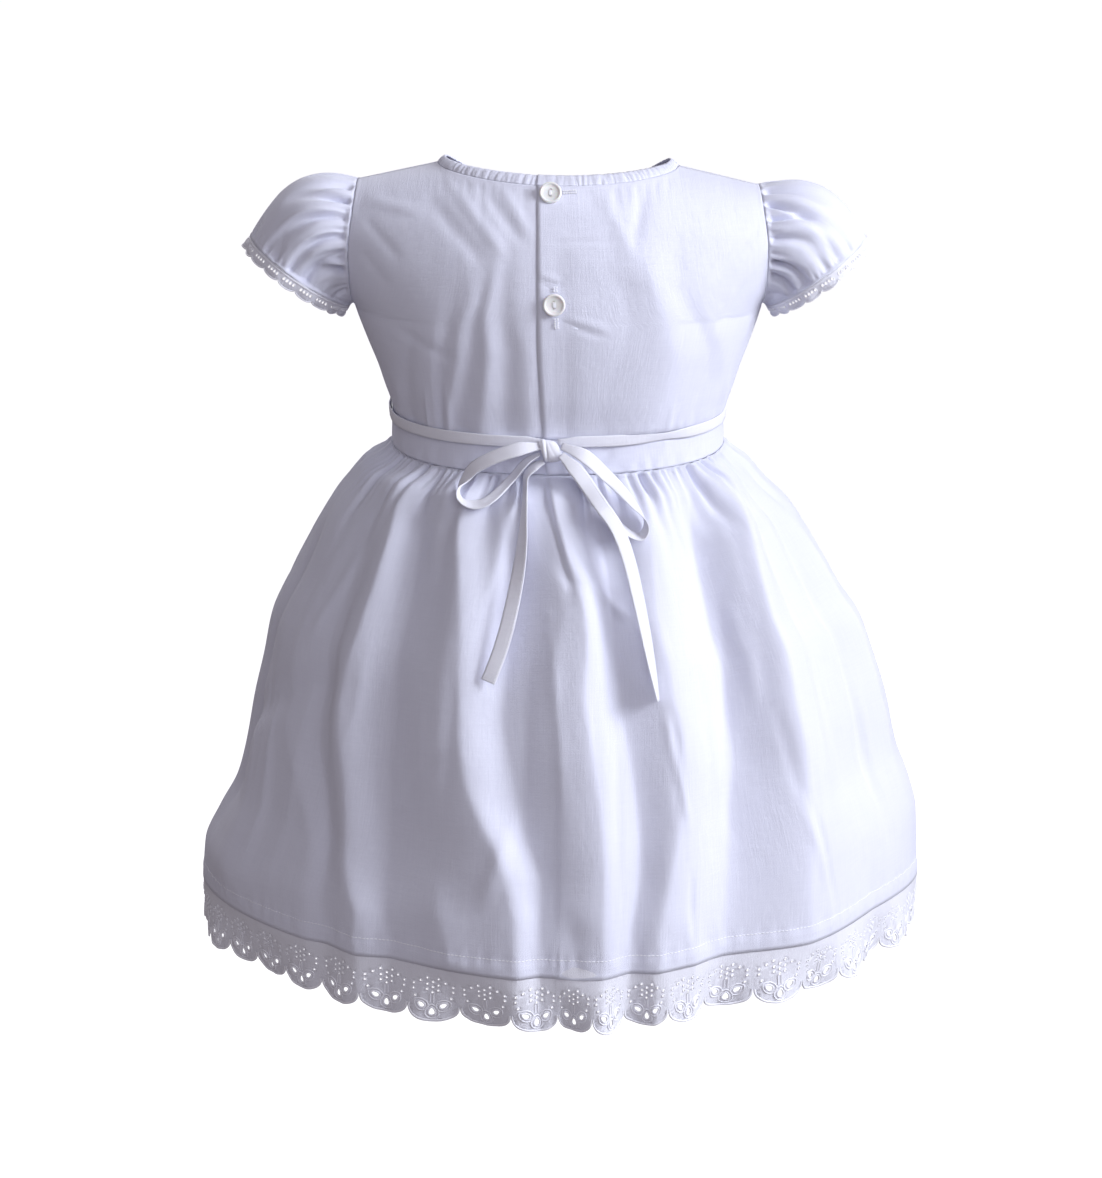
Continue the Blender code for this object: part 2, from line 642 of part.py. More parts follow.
def place_ribbon(route, width, closes, u, v):
    """A free stretch of tape over the skirt: u runs along it from the knot and v across it. The knot
    gathers its width at the start, and at the end too where it closes a loop.
    """
    def centre(t):
        x, z, off, _ = through([Vector(row) for row in route], t)
        point, out = back_at(x, z)
        return point + out * off, out

    middle, out = centre(u)
    ahead = centre(u + 0.01)[0] - centre(u - 0.01)[0]
    run = ahead.normalized()
    turn = math.radians(through([Vector(row) for row in route], u)[3])
    flat = run.cross(out).normalized()
    lifted = flat * math.cos(turn) + run.cross(flat).normalized() * math.sin(turn)
    gathered = mix(0.5, 1, ease(0, 0.1, u))
    if closes:
        gathered *= mix(0.5, 1, ease(1, 0.9, u))
    return middle + lifted * ((v - 0.5) * width * gathered)


def add_ribbon(name, route, lengths, closes=False):
    sheet(name, lengths, 1, lambda u, v: place_ribbon(route, TAPE, closes, u, v), (0, 0, -220),
          wall=TAPE_WALL, color=WHITE_TAPE, roughness=0.7)


for hand, word in ((-1, "left"), (1, "right")):
    sheet(f"tie_run_{word}", 18, 1, lambda u, v, hand=hand: place_run(hand, u, v), INSIDE_BODICE,
          wall=TAPE_WALL, color=WHITE_TAPE, roughness=0.7)

add_ribbon("tie_loop_left", LOOP_LEFT, 26, closes=True)
add_ribbon("tie_loop_right", LOOP_RIGHT, 24, closes=True)
add_ribbon("tie_tail_left", TAIL_LEFT, 22)
add_ribbon("tie_tail_right", TAIL_RIGHT, 22)

knot_mesh = bmesh.new()
bmesh.ops.create_uvsphere(knot_mesh, u_segments=14, v_segments=8, radius=1)
knot_seat = torso(-1, across_at(*KNOT), KNOT[1])
for vert in knot_mesh.verts:
    spread = Vector(a * b for a, b in zip(vert.co, KNOT_RADII))
    vert.co = (knot_seat + Vector((0, -KNOT_RADII[1] - KNOT_CLEAR, 0)) + spread) * MM
add_piece("tie_knot", knot_mesh, WHITE_TAPE, 0.7)
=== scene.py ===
import bisect
import math
import random

import bmesh
import bpy
from mathutils import Matrix, Vector


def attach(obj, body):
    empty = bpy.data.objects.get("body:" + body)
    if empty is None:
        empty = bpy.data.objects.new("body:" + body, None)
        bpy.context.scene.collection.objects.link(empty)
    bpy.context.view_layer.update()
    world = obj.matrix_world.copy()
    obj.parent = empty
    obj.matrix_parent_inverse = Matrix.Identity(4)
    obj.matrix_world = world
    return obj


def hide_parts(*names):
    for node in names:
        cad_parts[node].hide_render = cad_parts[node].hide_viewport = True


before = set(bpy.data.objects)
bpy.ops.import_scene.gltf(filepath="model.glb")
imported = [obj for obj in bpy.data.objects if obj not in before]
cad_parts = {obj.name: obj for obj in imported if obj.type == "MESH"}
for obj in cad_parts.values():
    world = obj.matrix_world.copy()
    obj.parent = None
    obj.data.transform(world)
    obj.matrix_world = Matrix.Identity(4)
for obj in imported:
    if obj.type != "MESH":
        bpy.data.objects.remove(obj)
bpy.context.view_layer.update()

# ---------------------------------------------------------------- camera, light and floor
# The dress is looked at from behind and a little above, through a long lens. A large soft light stands
# to its right, two weak lamps and a faint pink sky fill the rest, and a white floor lies well below it.

TARGET = Vector((-0.004, -0.040, -0.245))
CAMERA_AWAY = 1.95
CAMERA_RISE = math.radians(15)
camera_data = bpy.data.cameras.new("studio_camera")
camera_data.lens = 103.0
camera = bpy.data.objects.new("studio_camera", camera_data)
camera.location = TARGET + CAMERA_AWAY * Vector((0, -math.cos(CAMERA_RISE), math.sin(CAMERA_RISE)))
camera.rotation_euler = (math.pi / 2 - CAMERA_RISE, 0, 0)
bpy.context.collection.objects.link(camera)
bpy.context.scene.camera = camera

STUDIO_LIGHTS = [  # name, place, size, watts, colour
    ("key", (2.16, -0.86, 0.95), 1.25, 80.0, (0.885, 0.925, 1.0)),
    ("back_light", (-0.6, 1.8, 0.9), 1.2, 14.0, (0.93, 0.95, 1.0)),
    ("front_fill", (0.3, -2.3, 0.9), 1.4, 15.0, (0.90, 0.92, 1.0)),
]
for name, place, size, watts, colour in STUDIO_LIGHTS:
    lamp = bpy.data.lights.new(name, "AREA")
    lamp.size = size
    lamp.energy = watts
    lamp.color = colour
    light = bpy.data.objects.new(name, lamp)
    light.location = place
    light.rotation_euler = (TARGET - Vector(place)).to_track_quat("-Z", "Y").to_euler()
    bpy.context.collection.objects.link(light)

world = bpy.data.worlds.new("studio")
world.use_nodes = True
world.node_tree.nodes["Background"].inputs["Color"].default_value = (0.98, 0.89, 0.93, 1)
world.node_tree.nodes["Background"].inputs["Strength"].default_value = 0.235
bpy.context.scene.world = world
bpy.context.scene.view_settings.view_transform = "Standard"

FLOOR_Z = -1.25
floor_mesh = bmesh.new()
bmesh.ops.create_grid(floor_mesh, x_segments=1, y_segments=1, size=60)
bmesh.ops.translate(floor_mesh, verts=floor_mesh.verts, vec=(0, 0, FLOOR_Z))
floor_data = bpy.data.meshes.new("studio_floor")
floor_mesh.to_mesh(floor_data)
floor_mesh.free()
floor = bpy.data.objects.new("studio_floor", floor_data)
paper = bpy.data.materials.new("white_paper")
paper.use_nodes = True
paper_shader = paper.node_tree.nodes["Principled BSDF"]
paper_shader.inputs["Base Color"].default_value = (0.5, 0.5, 0.5, 1)
paper_shader.inputs["Roughness"].default_value = 1.0
paper_shader.inputs["Emission Color"].default_value = (0.97, 0.97, 1.0, 1)
paper_shader.inputs["Emission Strength"].default_value = 0.93
floor_data.materials.append(paper)
floor.visible_diffuse = False
floor.visible_glossy = False
bpy.context.collection.objects.link(floor)


# ---------------------------------------------------------------- cotton cloth
# All the panels are one fine, plain woven cotton lawn, white with a cool cast. It is matt, with a soft
# bloom of loose fibres, faint uneven threads and the slight crumple of washed cloth.

class Amount:
    """A number in a material that changes over the surface. Sums and products add Math nodes."""

    def __init__(self, finish, socket):
        self.finish = finish
        self.socket = socket

    def maths(self, operation, *values):
        inputs = {i: value for i, value in enumerate(values)}
        return self.finish.add("ShaderNodeMath", {"operation": operation}, inputs).out(0)

    def __add__(self, other):
        return self.maths("ADD", self, other)

    def __mul__(self, other):
        return self.maths("MULTIPLY", self, other)

    def sine(self):
        return self.maths("SINE", self)


class Node:
    """A node of a material, whose outputs are read by name or number."""

    def __init__(self, finish, node):
        self.finish = finish
        self.node = node

    def out(self, output):
        return Amount(self.finish, self.node.outputs[output])


class Finish:
    """A material with one Principled shader."""

    def __init__(self, name, **constants):
        self.material = bpy.data.materials.new(name)
        self.material.use_nodes = True
        self.tree = self.material.node_tree
        self.shader = self.tree.nodes["Principled BSDF"]
        for socket, value in constants.items():
            self.shader.inputs[socket.replace("_", " ")].default_value = value

    def add(self, kind, settings=None, inputs=None):
        """A node of a kind, with its settings and then the values or links of its sockets."""
        node = self.tree.nodes.new(kind)
        for setting, value in (settings or {}).items():
            setattr(node, setting, value)
        for socket, value in (inputs or {}).items():
            self.feed(node.inputs[socket], value)
        return Node(self, node)

    def feed(self, socket, value):
        if isinstance(value, Amount):
            self.tree.links.new(value.socket, socket)
        else:
            socket.default_value = value

    def surface_map(self, across, along_it):
        """The piece's own UV map, which is in metres, stretched to count in these lengths."""
        uv = self.add("ShaderNodeUVMap", {"uv_map": "cloth"}).out(0)
        scale = (1 / across, 1 / along_it, 1)
        return self.add("ShaderNodeMapping", None, {"Vector": uv, "Scale": scale}).out(0)

    def noise(self, across, along_it, detail=2.0, rough=0.5):
        return self.add("ShaderNodeTexNoise", None, {
            "Vector": self.surface_map(across, along_it), "Scale": 1.0, "Detail": detail,
            "Roughness": rough}).out(0)

    def blend(self, factor, first, second):
        """A colour between two colours."""
        return self.add("ShaderNodeMix", {"data_type": "RGBA"},
                        {0: factor, 6: (*first, 1), 7: (*second, 1)}).out(2)

    def bump(self, height, distance, strength=1.0):
        self.feed(self.shader.inputs["Normal"], self.add("ShaderNodeBump", None, {
            "Height": height, "Distance": distance, "Strength": strength}).out(0))

    def on(self, piece):
        piece.data.materials.clear()
        piece.data.materials.append(self.material)


def woven(name, light, shade, crumple, thread=0.00042):
    """Plain woven cotton: threads both ways, slubs along the warp, and a soft crumple."""
    fabric = Finish(name, Roughness=0.88, Sheen_Weight=0.22, Sheen_Roughness=0.45,
                    Specular_IOR_Level=0.25)
    split = fabric.add("ShaderNodeSeparateXYZ", None,
                       {0: fabric.surface_map(thread / math.tau, thread / math.tau)})
    weave = split.out(0).sine() * split.out(1).sine()
    slubs = fabric.noise(0.0010, 0.020, 3.0, 0.65)
    weft = fabric.noise(0.016, 0.0009, 2.0, 0.5)
    folds = fabric.noise(0.013, 0.019, 3.0, 0.55)
    fabric.feed(fabric.shader.inputs["Base Color"],
                fabric.blend(slubs * 0.6 + weft * 0.4, shade, light))
    fabric.bump(weave * 0.10 + slubs * 0.34 + weft * 0.14 + folds * crumple, 0.00042)
    return fabric


LAWN_LIGHT = (0.832, 0.845, 0.965)
LAWN_SHADE = (0.728, 0.736, 0.875)
lawn = woven("white_cotton_lawn", LAWN_LIGHT, LAWN_SHADE, 1.5)


# ---------------------------------------------------------------- form of the dress
# The pieces were cut flat and sewn into a hollow form. These tables and functions give that form at any
# place, the same one as the frame's solids, so each panel below can be a fine sheet laid on it.

MM = 0.001              # forms and tables are in millimetres
WELD = 0.01             # points this close become one
LAP_EDGE = -12.0        # x of the back opening's upper, visible edge
UNDER_EDGE = 11.0       # x of its hidden edge
LAP_STEP = 0.3
NECK_CORNER = 69.0
ARMPIT = -84.0
BAND_TOP = -149.0
BAND_HEIGHT = 20.0
SIDE_RISE = 5.0
HEM_BACK = -437.0
HEM_RISE = 5.0
FLARE = 13.0
TORSO_WIDTH = [  # z, half_width
    (-172, 97.0), (-150, 96.0), (-142, 96.3), (-130, 100.5), (-119, 103.8), (-105, 109.5),
    (-92, 114.5), (-84, 117.5), (-70, 126), (-50, 138), (-25, 148), (10, 156),
]
TORSO_DEPTH = [  # below the shoulder line, half_depth
    (0, 0), (1, 15), (4, 30), (10, 44), (16, 52.5), (30, 65), (60, 77), (95, 82), (130, 79.5),
    (150, 76), (185, 77),
]
TORSO_SQUARE = 2.2
ARMHOLE = [  # z, edge_x
    (-84, 117.5), (-70, 118.2), (-48, 118.6), (-26, 116.2), (-8, 114.0),
]
NECK_DROP = {-1: 15.5, 1: 46.0}
SKIRT = [  # z, left, right, half_depth, squareness
    (-160, 98, 98, 76.5, 2.2), (-169, 104, 104, 82, 2.15), (-178, 114, 112, 90, 2.1),
    (-188, 123, 121, 97, 2.05), (-202, 134, 136, 105, 2.0), (-220, 144, 148, 113, 1.95),
    (-237, 153, 158, 120, 1.92), (-253, 162, 167, 126, 1.9), (-269, 169, 178, 132, 1.88),
    (-293, 174, 187, 140, 1.84), (-318, 180, 195, 147, 1.8), (-349, 186, 202, 153, 1.76),
    (-370, 192, 210, 157, 1.73), (-390, 203, 215, 160, 1.71), (-410, 212, 216, 163, 1.7),
    (-437, 214, 217, 165, 1.68), (-472, 218, 219, 166, 1.66),
]


def profile(rows, column=1):
    """A smooth function through one column of a table, by its first column."""
    pairs = sorted((row[0], row[column]) for row in rows)
    keys = [pair[0] for pair in pairs]
    values = [pair[1] for pair in pairs]
    rises = [(values[i + 1] - values[i]) / (keys[i + 1] - keys[i]) for i in range(len(keys) - 1)]
    slopes = [rises[0]]
    for before, after in zip(rises, rises[1:]):
        slopes.append(0.0 if before * after <= 0 else 2 * before * after / (before + after))
    slopes.append(rises[-1])

    def at(key):
        if key <= keys[0]:
            return values[0]
        if key >= keys[-1]:
            return values[-1]
        i = bisect.bisect_right(keys, key) - 1
        span = keys[i + 1] - keys[i]
        t = (key - keys[i]) / span
        return (values[i] * (2 * t**3 - 3 * t**2 + 1) + slopes[i] * span * (t**3 - 2 * t**2 + t)
                + values[i + 1] * (3 * t**2 - 2 * t**3) + slopes[i + 1] * span * (t**3 - t**2))

    return at


torso_width = profile(TORSO_WIDTH)
torso_depth = profile(TORSO_DEPTH)
armhole_edge = profile(ARMHOLE)
skirt_left, skirt_right, skirt_depth, skirt_square = (profile(SKIRT, column) for column in (1, 2, 3, 4))


def mix(a, b, t):
    return a + (b - a) * t


def ease(low, high, value):
    """0 below low, 1 above high, and a smooth rise between."""
    t = min(max((value - low) / (high - low), 0.0), 1.0)
    return t * t * (3 - 2 * t)


def bell(distance, width):
    return math.exp(-(distance / width)**2)


def ridge(distance, width):
    """A fold's profile: a narrower top than a bell's, with longer flanks."""
    return math.exp(0.09 - ((distance / width)**2 + 0.04)**0.75)


def crest(x):
    """Height of the shoulder line at x, its two stretches eased into each other."""
    slope = ease(NECK_CORNER - 12, NECK_CORNER + 12, abs(x))
    over = 6 - 10 * (x / NECK_CORNER)**2
    outer = -4 - 0.222 * (abs(x) - NECK_CORNER)
    return mix(over, outer, slope) - 0.015 * x


def widest_angle(z):
    width = torso_width(z)
    reach = min(width, armhole_edge(z)) if z > ARMPIT else width
    return math.asin(min(reach / width, 1.0)**(TORSO_SQUARE / 2))


def across_at(x, z):
    share = min(abs(x) / torso_width(z), 1.0)
    return math.copysign(math.asin(share**(TORSO_SQUARE / 2)) / widest_angle(z), x)


def torso(side, across, z):
    """Point of the bodice or waistband: side is -1 for the back and 1 for the front."""
    angle = across * widest_angle(z)
    x = math.copysign(torso_width(z) * abs(math.sin(angle))**(2 / TORSO_SQUARE), across)
    round_off = max(math.cos(angle), 0.0)**(2 / TORSO_SQUARE)
    return Vector((x, side * (torso_depth(max(crest(x) - z, 0.0)) * round_off + 0.05), z))


def torso_top(side, across):
    """Height of a bodice panel's upper edge."""
    z = -8.0
    for _ in range(5):
        x = torso(side, across, z).x
        z = crest(x)
        if abs(x) < NECK_CORNER:
            z -= NECK_DROP[side] * (1 - (x / NECK_CORNER)**2)
    return z


def band_seam(across, lower=False):
    return BAND_TOP + SIDE_RISE * across**2 - (BAND_HEIGHT if lower else 0)


def lap_depth(x):
    return LAP_STEP * ease(LAP_EDGE - 9, LAP_EDGE - 1, x)


def face_away(bm, inside):
    """Turns all the faces round if they look towards a point inside the dress."""
    bm.normal_update()
    middle = Vector(inside)
    if sum((face.calc_center_median() - middle).dot(face.normal) * face.calc_area()
           for face in bm.faces) < 0:
        bmesh.ops.reverse_faces(bm, faces=bm.faces)
        bm.normal_update()


def finished(name, bm, finish):
    """The shape, worked in millimetres, as a smooth piece in its finish."""
    bmesh.ops.scale(bm, verts=bm.verts, vec=(MM, MM, MM))
    mesh = bpy.data.meshes.new(name)
    bm.to_mesh(mesh)
    bm.free()
    mesh.shade_smooth()
    piece = bpy.data.objects.new(name, mesh)
    bpy.context.collection.objects.link(piece)
    finish.on(piece)
    return piece


def thicken(piece, wall):
    """The cloth's thickness, inwards from its face."""
    shell = piece.modifiers.new("wall", "SOLIDIFY")
    shell.thickness = wall * MM
    shell.offset = -1
    return piece


def cloth(name, columns, rows, place, inside, size, detail, wall=0.5, closed=False, finish=lawn,
          unroll=None, ease_rounds=0):
    """A cloth piece: a grid bent by place(u, v) onto the form, evened out in a few rounds, then raised
    or sunk along its own normals by detail(u, v, point). size is its width and length, for the
    weave's map, unless unroll(point) gives the place on the flat cloth.
    """
    bm = bmesh.new()
    bmesh.ops.create_grid(bm, x_segments=columns, y_segments=rows, size=0.5)
    weave_map = bm.loops.layers.uv.new("cloth")
    shares = bm.verts.layers.float_vector.new("shares")
    for vert in bm.verts:
        vert[shares] = (vert.co.x + 0.5, vert.co.y + 0.5, 0)
    for face in bm.faces:
        for loop in face.loops:
            u, v, _ = loop.vert[shares]
            loop[weave_map].uv = (u * size[0] * MM, v * size[1] * MM)
    for vert in bm.verts:
        vert.co = place(*vert[shares].xy)
    inner = [vert for vert in bm.verts if not vert.is_boundary]
    for _ in range(ease_rounds):
        bmesh.ops.smooth_vert(bm, verts=inner, factor=0.5, use_axis_x=True, use_axis_y=True,
                              use_axis_z=True)
    if unroll:
        for face in bm.faces:
            for loop in face.loops:
                loop[weave_map].uv = unroll(loop.vert.co) * MM
    if closed:
        bmesh.ops.remove_doubles(bm, verts=bm.verts, dist=WELD)
    face_away(bm, inside)
    moves = [(vert, vert.normal * detail(*vert[shares].xy, vert.co)) for vert in bm.verts]
    for vert, move in moves:
        vert.co += move
    return thicken(finished(name, bm, finish), wall)


def sewn(piece, node):
    """The piece rides with the dress and stands for its solid, which is hidden when one is named."""
    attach(piece, "root")
    if node:
        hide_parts(node)
    return piece


def creased(rows, x, z):
    """Sum of soft folds along straight lines in the plane of the dress's back or front: each runs
    from its head to its foot and fades out past them.
    """
    rise = 0.0
    for x0, z0, x1, z1, width, depth in rows:
        dx = x1 - x0
        dz = z1 - z0
        length = dx * dx + dz * dz
        t = ((x - x0) * dx + (z - z0) * dz) / length
        if not -0.3 < t < 1.3:
            continue
        off = ((x - x0) * dz - (z - z0) * dx) / math.sqrt(length)
        if abs(off) < 3 * width:
            rise += depth * bell(off, width) * ease(-0.25, 0.25, t) * ease(1.25, 0.75, t)
    return rise


# ---------------------------------------------------------------- skirt
# Two cotton panels, front and back, gathered into the waistband and turned up once at the hem. The back
# opening's lap runs a little way down into the back panel. Long folds hang from the gathers.

INSIDE_SKIRT = (0, 0, -300)
SKIRT_TOP = BAND_TOP - BAND_HEIGHT


def skirt(side, angle, z):
    """Point of the skirt, without its folds, at an angle from centre back or centre front."""
    width = skirt_left(z) if angle < 0 else skirt_right(z)
    depth = skirt_depth(z)
    square = skirt_square(z)
    x = math.copysign(width * abs(math.sin(angle))**(2 / square), angle)
    y = depth * max(math.cos(angle), 0.0)**(2 / square)
    across = angle / (math.pi / 2)
    band = torso(side, across, z)
    share = ease(-FLARE / 4, FLARE, band_seam(across, lower=True) - z)
    return band.lerp(Vector((x, side * (y + 0.2), z)), share)


def hem_height(angle):
    return HEM_BACK + HEM_RISE * math.sin(angle)**2


def half_girth(z):
    """Length round the skirt from centre back to a side seam."""
    steps = [skirt(-1, math.pi / 2 * i / 24, z) for i in range(25)]
    return sum((b - a).length for a, b in zip(steps, steps[1:]))


girth = profile([(z, half_girth(z))
                 for z in (-169, -178, -190, -205, -225, -255, -300, -350, -400, -440)])


def fold(rows, widths, depth, fades=(0.25, 0.25), lean=1.0, stretch=lambda z: 1.0):
    """A long fold. rows are (height, place across) from head to foot, widths are at head and foot, and
    fades are the shares of its length over which it rises and dies. lean is its left flank's width
    over the right one's.
    """
    course = profile(rows)
    head = rows[0][0]
    foot = rows[-1][0]

    def rise(s, z):
        t = (head - z) / (head - foot)
        if not 0 < t < 1:
            return 0.0
        width = mix(*widths, t)
        off = s - course(z) * stretch(z)
        if off < 0:
            width *= lean
        if abs(off) > 3 * width:
            return 0.0
        return depth * ridge(off, width) * ease(0, fades[0], t) * ease(1, 1 - fades[1], t)

    return rise


SKIRT_FOLDS = {-1: [  # (z, across) rows, widths, depth, fades, lean
    ([(-176, -0.158), (-210, -0.164), (-245, -0.178)], (3.2, 4.5), 2.2, (0.2, 0.5), 1.0),
    ([(-180, 0.80), (-240, 0.78), (-330, 0.77), (-425, 0.80)], (8, 14), -5.0, (0.3, 0.4), 1.0),
    ([(-178, 0.90), (-260, 0.88), (-400, 0.88)], (7, 14), 4.0, (0.3, 0.4), 1.0),
    ([(-290, -0.80), (-340, -0.78), (-437, -0.72)], (14, 24), 5.0, (0.4, 0.2), 1.2),
    ([(-175, -0.88), (-230, -0.86), (-300, -0.89), (-420, -0.90)], (7, 13), -4.0, (0.3, 0.3), 1.0),
    ([(-380, -0.26), (-438, -0.22)], (9, 14), 3.0, (0.5, 0.1), 1.0),
    ([(-392, 0.03), (-438, 0.05)], (9, 13), -2.5, (0.5, 0.1), 1.0),
    ([(-400, 0.26), (-440, 0.28)], (5, 7), 1.8, (0.5, 0.1), 1.0),
], 1: [
    ([(-167, -0.82), (-240, -0.78), (-420, -0.72)], (6, 14), 8.0, (0.3, 0.3), 1.2),
    ([(-170, -0.70), (-250, -0.64), (-436, -0.60)], (6, 14), -7.0, (0.3, 0.2), 1.0),
    ([(-167, -0.58), (-250, -0.50), (-360, -0.47), (-440, -0.42)], (6, 17), 9.5, (0.3, 0.4), 0.8),
    ([(-172, -0.38), (-260, -0.33), (-438, -0.30)], (7, 16), -8.0, (0.25, 0.3), 1.0),
    ([(-169, -0.23), (-230, -0.19), (-380, -0.17)], (6, 15), 7.0, (0.3, 0.5), 1.0),
    ([(-172, -0.08), (-260, -0.06), (-436, 0.02)], (7, 18), -6.5, (0.3, 0.3), 1.0),
    ([(-168, 0.07), (-260, 0.10), (-436, 0.14)], (7, 17), 10.0, (0.3, 0.2), 1.3),
    ([(-172, 0.24), (-280, 0.25), (-420, 0.28)], (6, 14), -8.0, (0.3, 0.4), 1.0),
    ([(-167, 0.42), (-250, 0.40), (-438, 0.38)], (7, 16), 9.5, (0.3, 0.3), 0.8),
    ([(-175, 0.56), (-300, 0.53), (-440, 0.54)], (6, 15), -7.0, (0.3, 0.2), 1.0),
    ([(-168, 0.70), (-260, 0.66), (-390, 0.66)], (6, 14), 8.0, (0.3, 0.4), 1.1),
    ([(-180, 0.82), (-300, 0.80), (-440, 0.78)], (7, 14), -5.0, (0.3, 0.2), 1.0),
]}
# Lines round the back panel where the cloth turns: it falls away to the right of each crest, down to the
# next valley line, then rises slowly to the next crest.
SKIRT_LINES = [  # height out of the smooth form, (z, across) rows
    (3.0, [(-170, -0.80), (-193, -0.777), (-225, -0.706), (-270, -0.689), (-305, -0.690), (-348, -0.612),
           (-389, -0.528), (-424, -0.512)]),
    (-2.0, [(-178, -0.659), (-199, -0.603), (-232, -0.585), (-276, -0.580), (-310, -0.578), (-354, -0.531),
            (-397, -0.485), (-426, -0.470)]),
    (6.5, [(-171, -0.56), (-186, -0.515), (-206, -0.473), (-250, -0.475), (-295, -0.505), (-339, -0.471),
           (-383, -0.443), (-409, -0.400)]),
    (-5.5, [(-173, -0.443), (-184, -0.421), (-204, -0.400), (-247, -0.382), (-291, -0.399), (-335, -0.386),
            (-380, -0.370), (-425, -0.340)]),
    (6.5, [(-175, -0.338), (-187, -0.291), (-222, -0.248), (-264, -0.222), (-296, -0.221), (-328, -0.205),
           (-349, -0.175), (-370, -0.135), (-403, -0.100)]),
    (-5.5, [(-176, -0.207), (-185, -0.161), (-221, -0.129), (-262, -0.123), (-294, -0.134), (-326, -0.113),
            (-353, -0.090), (-381, -0.050)]),
    (6.5, [(-173, -0.031), (-187, -0.014), (-202, 0.006), (-218, 0.030), (-236, 0.060), (-252, 0.066),
           (-278, 0.056), (-304, 0.069), (-337, 0.089), (-370, 0.100)]),
    (-6.0, [(-176, 0.095), (-190, 0.106), (-221, 0.130), (-257, 0.132), (-289, 0.143), (-327, 0.166),
            (-360, 0.178), (-383, 0.175), (-410, 0.160)]),
    (4.0, [(-176, 0.316), (-201, 0.247), (-243, 0.235), (-275, 0.237), (-307, 0.252), (-340, 0.251),
           (-373, 0.231), (-417, 0.205)]),
    (-13.5, [(-175, 0.485), (-204, 0.404), (-247, 0.387), (-290, 0.385), (-323, 0.389), (-356, 0.369),
             (-390, 0.350), (-431, 0.340)]),
    (9.0, [(-181, 0.620), (-208, 0.542), (-251, 0.508), (-295, 0.504), (-336, 0.517), (-364, 0.507),
           (-398, 0.486), (-426, 0.490)]),
    (-7.5, [(-186, 0.745), (-212, 0.670), (-256, 0.638), (-302, 0.639), (-345, 0.662), (-394, 0.670),
            (-428, 0.700)]),
]
SKIRT_CREASES = [  # s_head, z_head, s_foot, z_foot, width, depth: small sharp creases of the back panel
    (58, -297, 72, -352, 1.8, 1.5), (62, -300, 68, -345, 2.6, -1.3), (76, -384, 80, -424, 1.2, -1.2),
    (141, -356, 160, -412, 1.6, -1.6), (137, -362, 152, -400, 2.4, 1.1), (120, -300, 134, -346, 2.6, -1.0),
    (-140, -286, -245, -330, 9.0, -3.2), (-70, -318, -96, -342, 3.0, -1.0),
    (-120, -216, -150, -262, 3.5, 1.4), (-30, -350, -46, -392, 5.0, 1.6), (96, -240, 110, -290, 3.0, 1.2),
    (18, -222, 36, -240, 2.6, 1.6),
]


def gathers(seed, reach, pitch, length, depth, waist, growth):
    """Fine folds drawn into a seam, uneven in pitch, length and depth: rows of place, length, depth,
    width at the seam, growth in width below it, and slant.
    """
    chance = random.Random(seed)
    rows = []
    s = -reach
    while s < reach:
        rows.append((s, chance.uniform(*length), chance.uniform(*depth), waist * chance.uniform(0.8, 1.3),
                     growth * chance.uniform(0.7, 1.3), chance.uniform(-0.05, 0.05)))
        s += pitch * chance.uniform(0.6, 1.45)
    return rows


def gathered(rows, s, below, shrink=1.0):
    """Height of a row of gathers at s round the seam, this far below it."""
    rise = 0.0
    for at, length, depth, width, growth, slant in rows:
        if below >= length:
            continue
        t = below / length
        off = s - (at * shrink + slant * below)
        spread = width + growth * below
        if abs(off) < 3 * spread:
            rise -= depth * bell(off, spread) * (1 - t)**1.4 * ease(-1.0, 2.0, below)
    return rise


WAIST_GATHERS = {
    side: [gathers(seed, 156, 6.4, (12, 44), (1.7, 3.4), 1.05, 0.042),
           gathers(seed + 1, 156, 13, (45, 130), (2.2, 4.6), 1.6, 0.060)]
    for side, seed in ((-1, 11), (1, 23))
}
SLIT = profile([(-168, -0.034), (-173, -0.031), (-187, -0.014), (-202, 0.006), (-218, 0.030),
                (-223, 0.040)])
SLIT_FOOT = -224.0
HEM_TURN = 10.5       # height of the turned-up hem
SEAM_GAP = 0.05       # between the waistband and the skirt's top
ROW_CROWDING = 1.35   # draws the grid's rows together towards the waist seam
skirt_lines = [(height, profile(rows)) for height, rows in SKIRT_LINES]


def between(knots, s, first, last):
    """Height at s between the two nearest of (place, height) knots, 0 at the ends."""
    before = (first, 0.0)
    for here in knots + [(last, 0.0)]:
        if here[0] > s:
            break
        before = here
    t = (s - before[0]) / max(here[0] - before[0], 0.5)
    return mix(before[1], here[1], 0.6 * ease(0, 1, t) + 0.4 * min(max(t, 0), 1))


def line_relief(s, z, around):
    """Height between the crest and valley lines on either side of s."""
    strength = mix(0.30, 1.0, ease(-167, -212, z)) * mix(0.60, 1.0, ease(-436, -350, z))
    knots = [(course(z) * around, height * strength) for height, course in skirt_lines]
    return between(knots, s, -around, around)


skirt_folds = {side: [fold(*row, stretch=girth) for row in SKIRT_FOLDS[side]] for side in (-1, 1)}
for side in (-1, 1):   # slighter folds between the long ones, no two alike
    chance = random.Random(70 + side)
    for k in range(34):
        head = chance.uniform(-176, -300)
        place = (k + chance.uniform(0.1, 0.9)) / 17 - 1
        drift = chance.uniform(-0.03, 0.03)
        foot = max(head - chance.uniform(60, 190), -436)
        skirt_folds[side].append(fold(
            [(head, place), ((head + foot) / 2, place * 0.98 + drift), (foot, place * 0.96 + drift * 2)],
            (chance.uniform(2.2, 4.5), chance.uniform(4, 9)),
            chance.choice((-1, 1)) * chance.uniform(0.5, 1.5),
            (0.4, 0.4), chance.uniform(0.6, 1.7), girth))


def slit_shift(across, z):
    """Moves the grid's middle column onto the edge of the lap that runs down from the waistband."""
    return SLIT(z) * bell(across, 0.16)


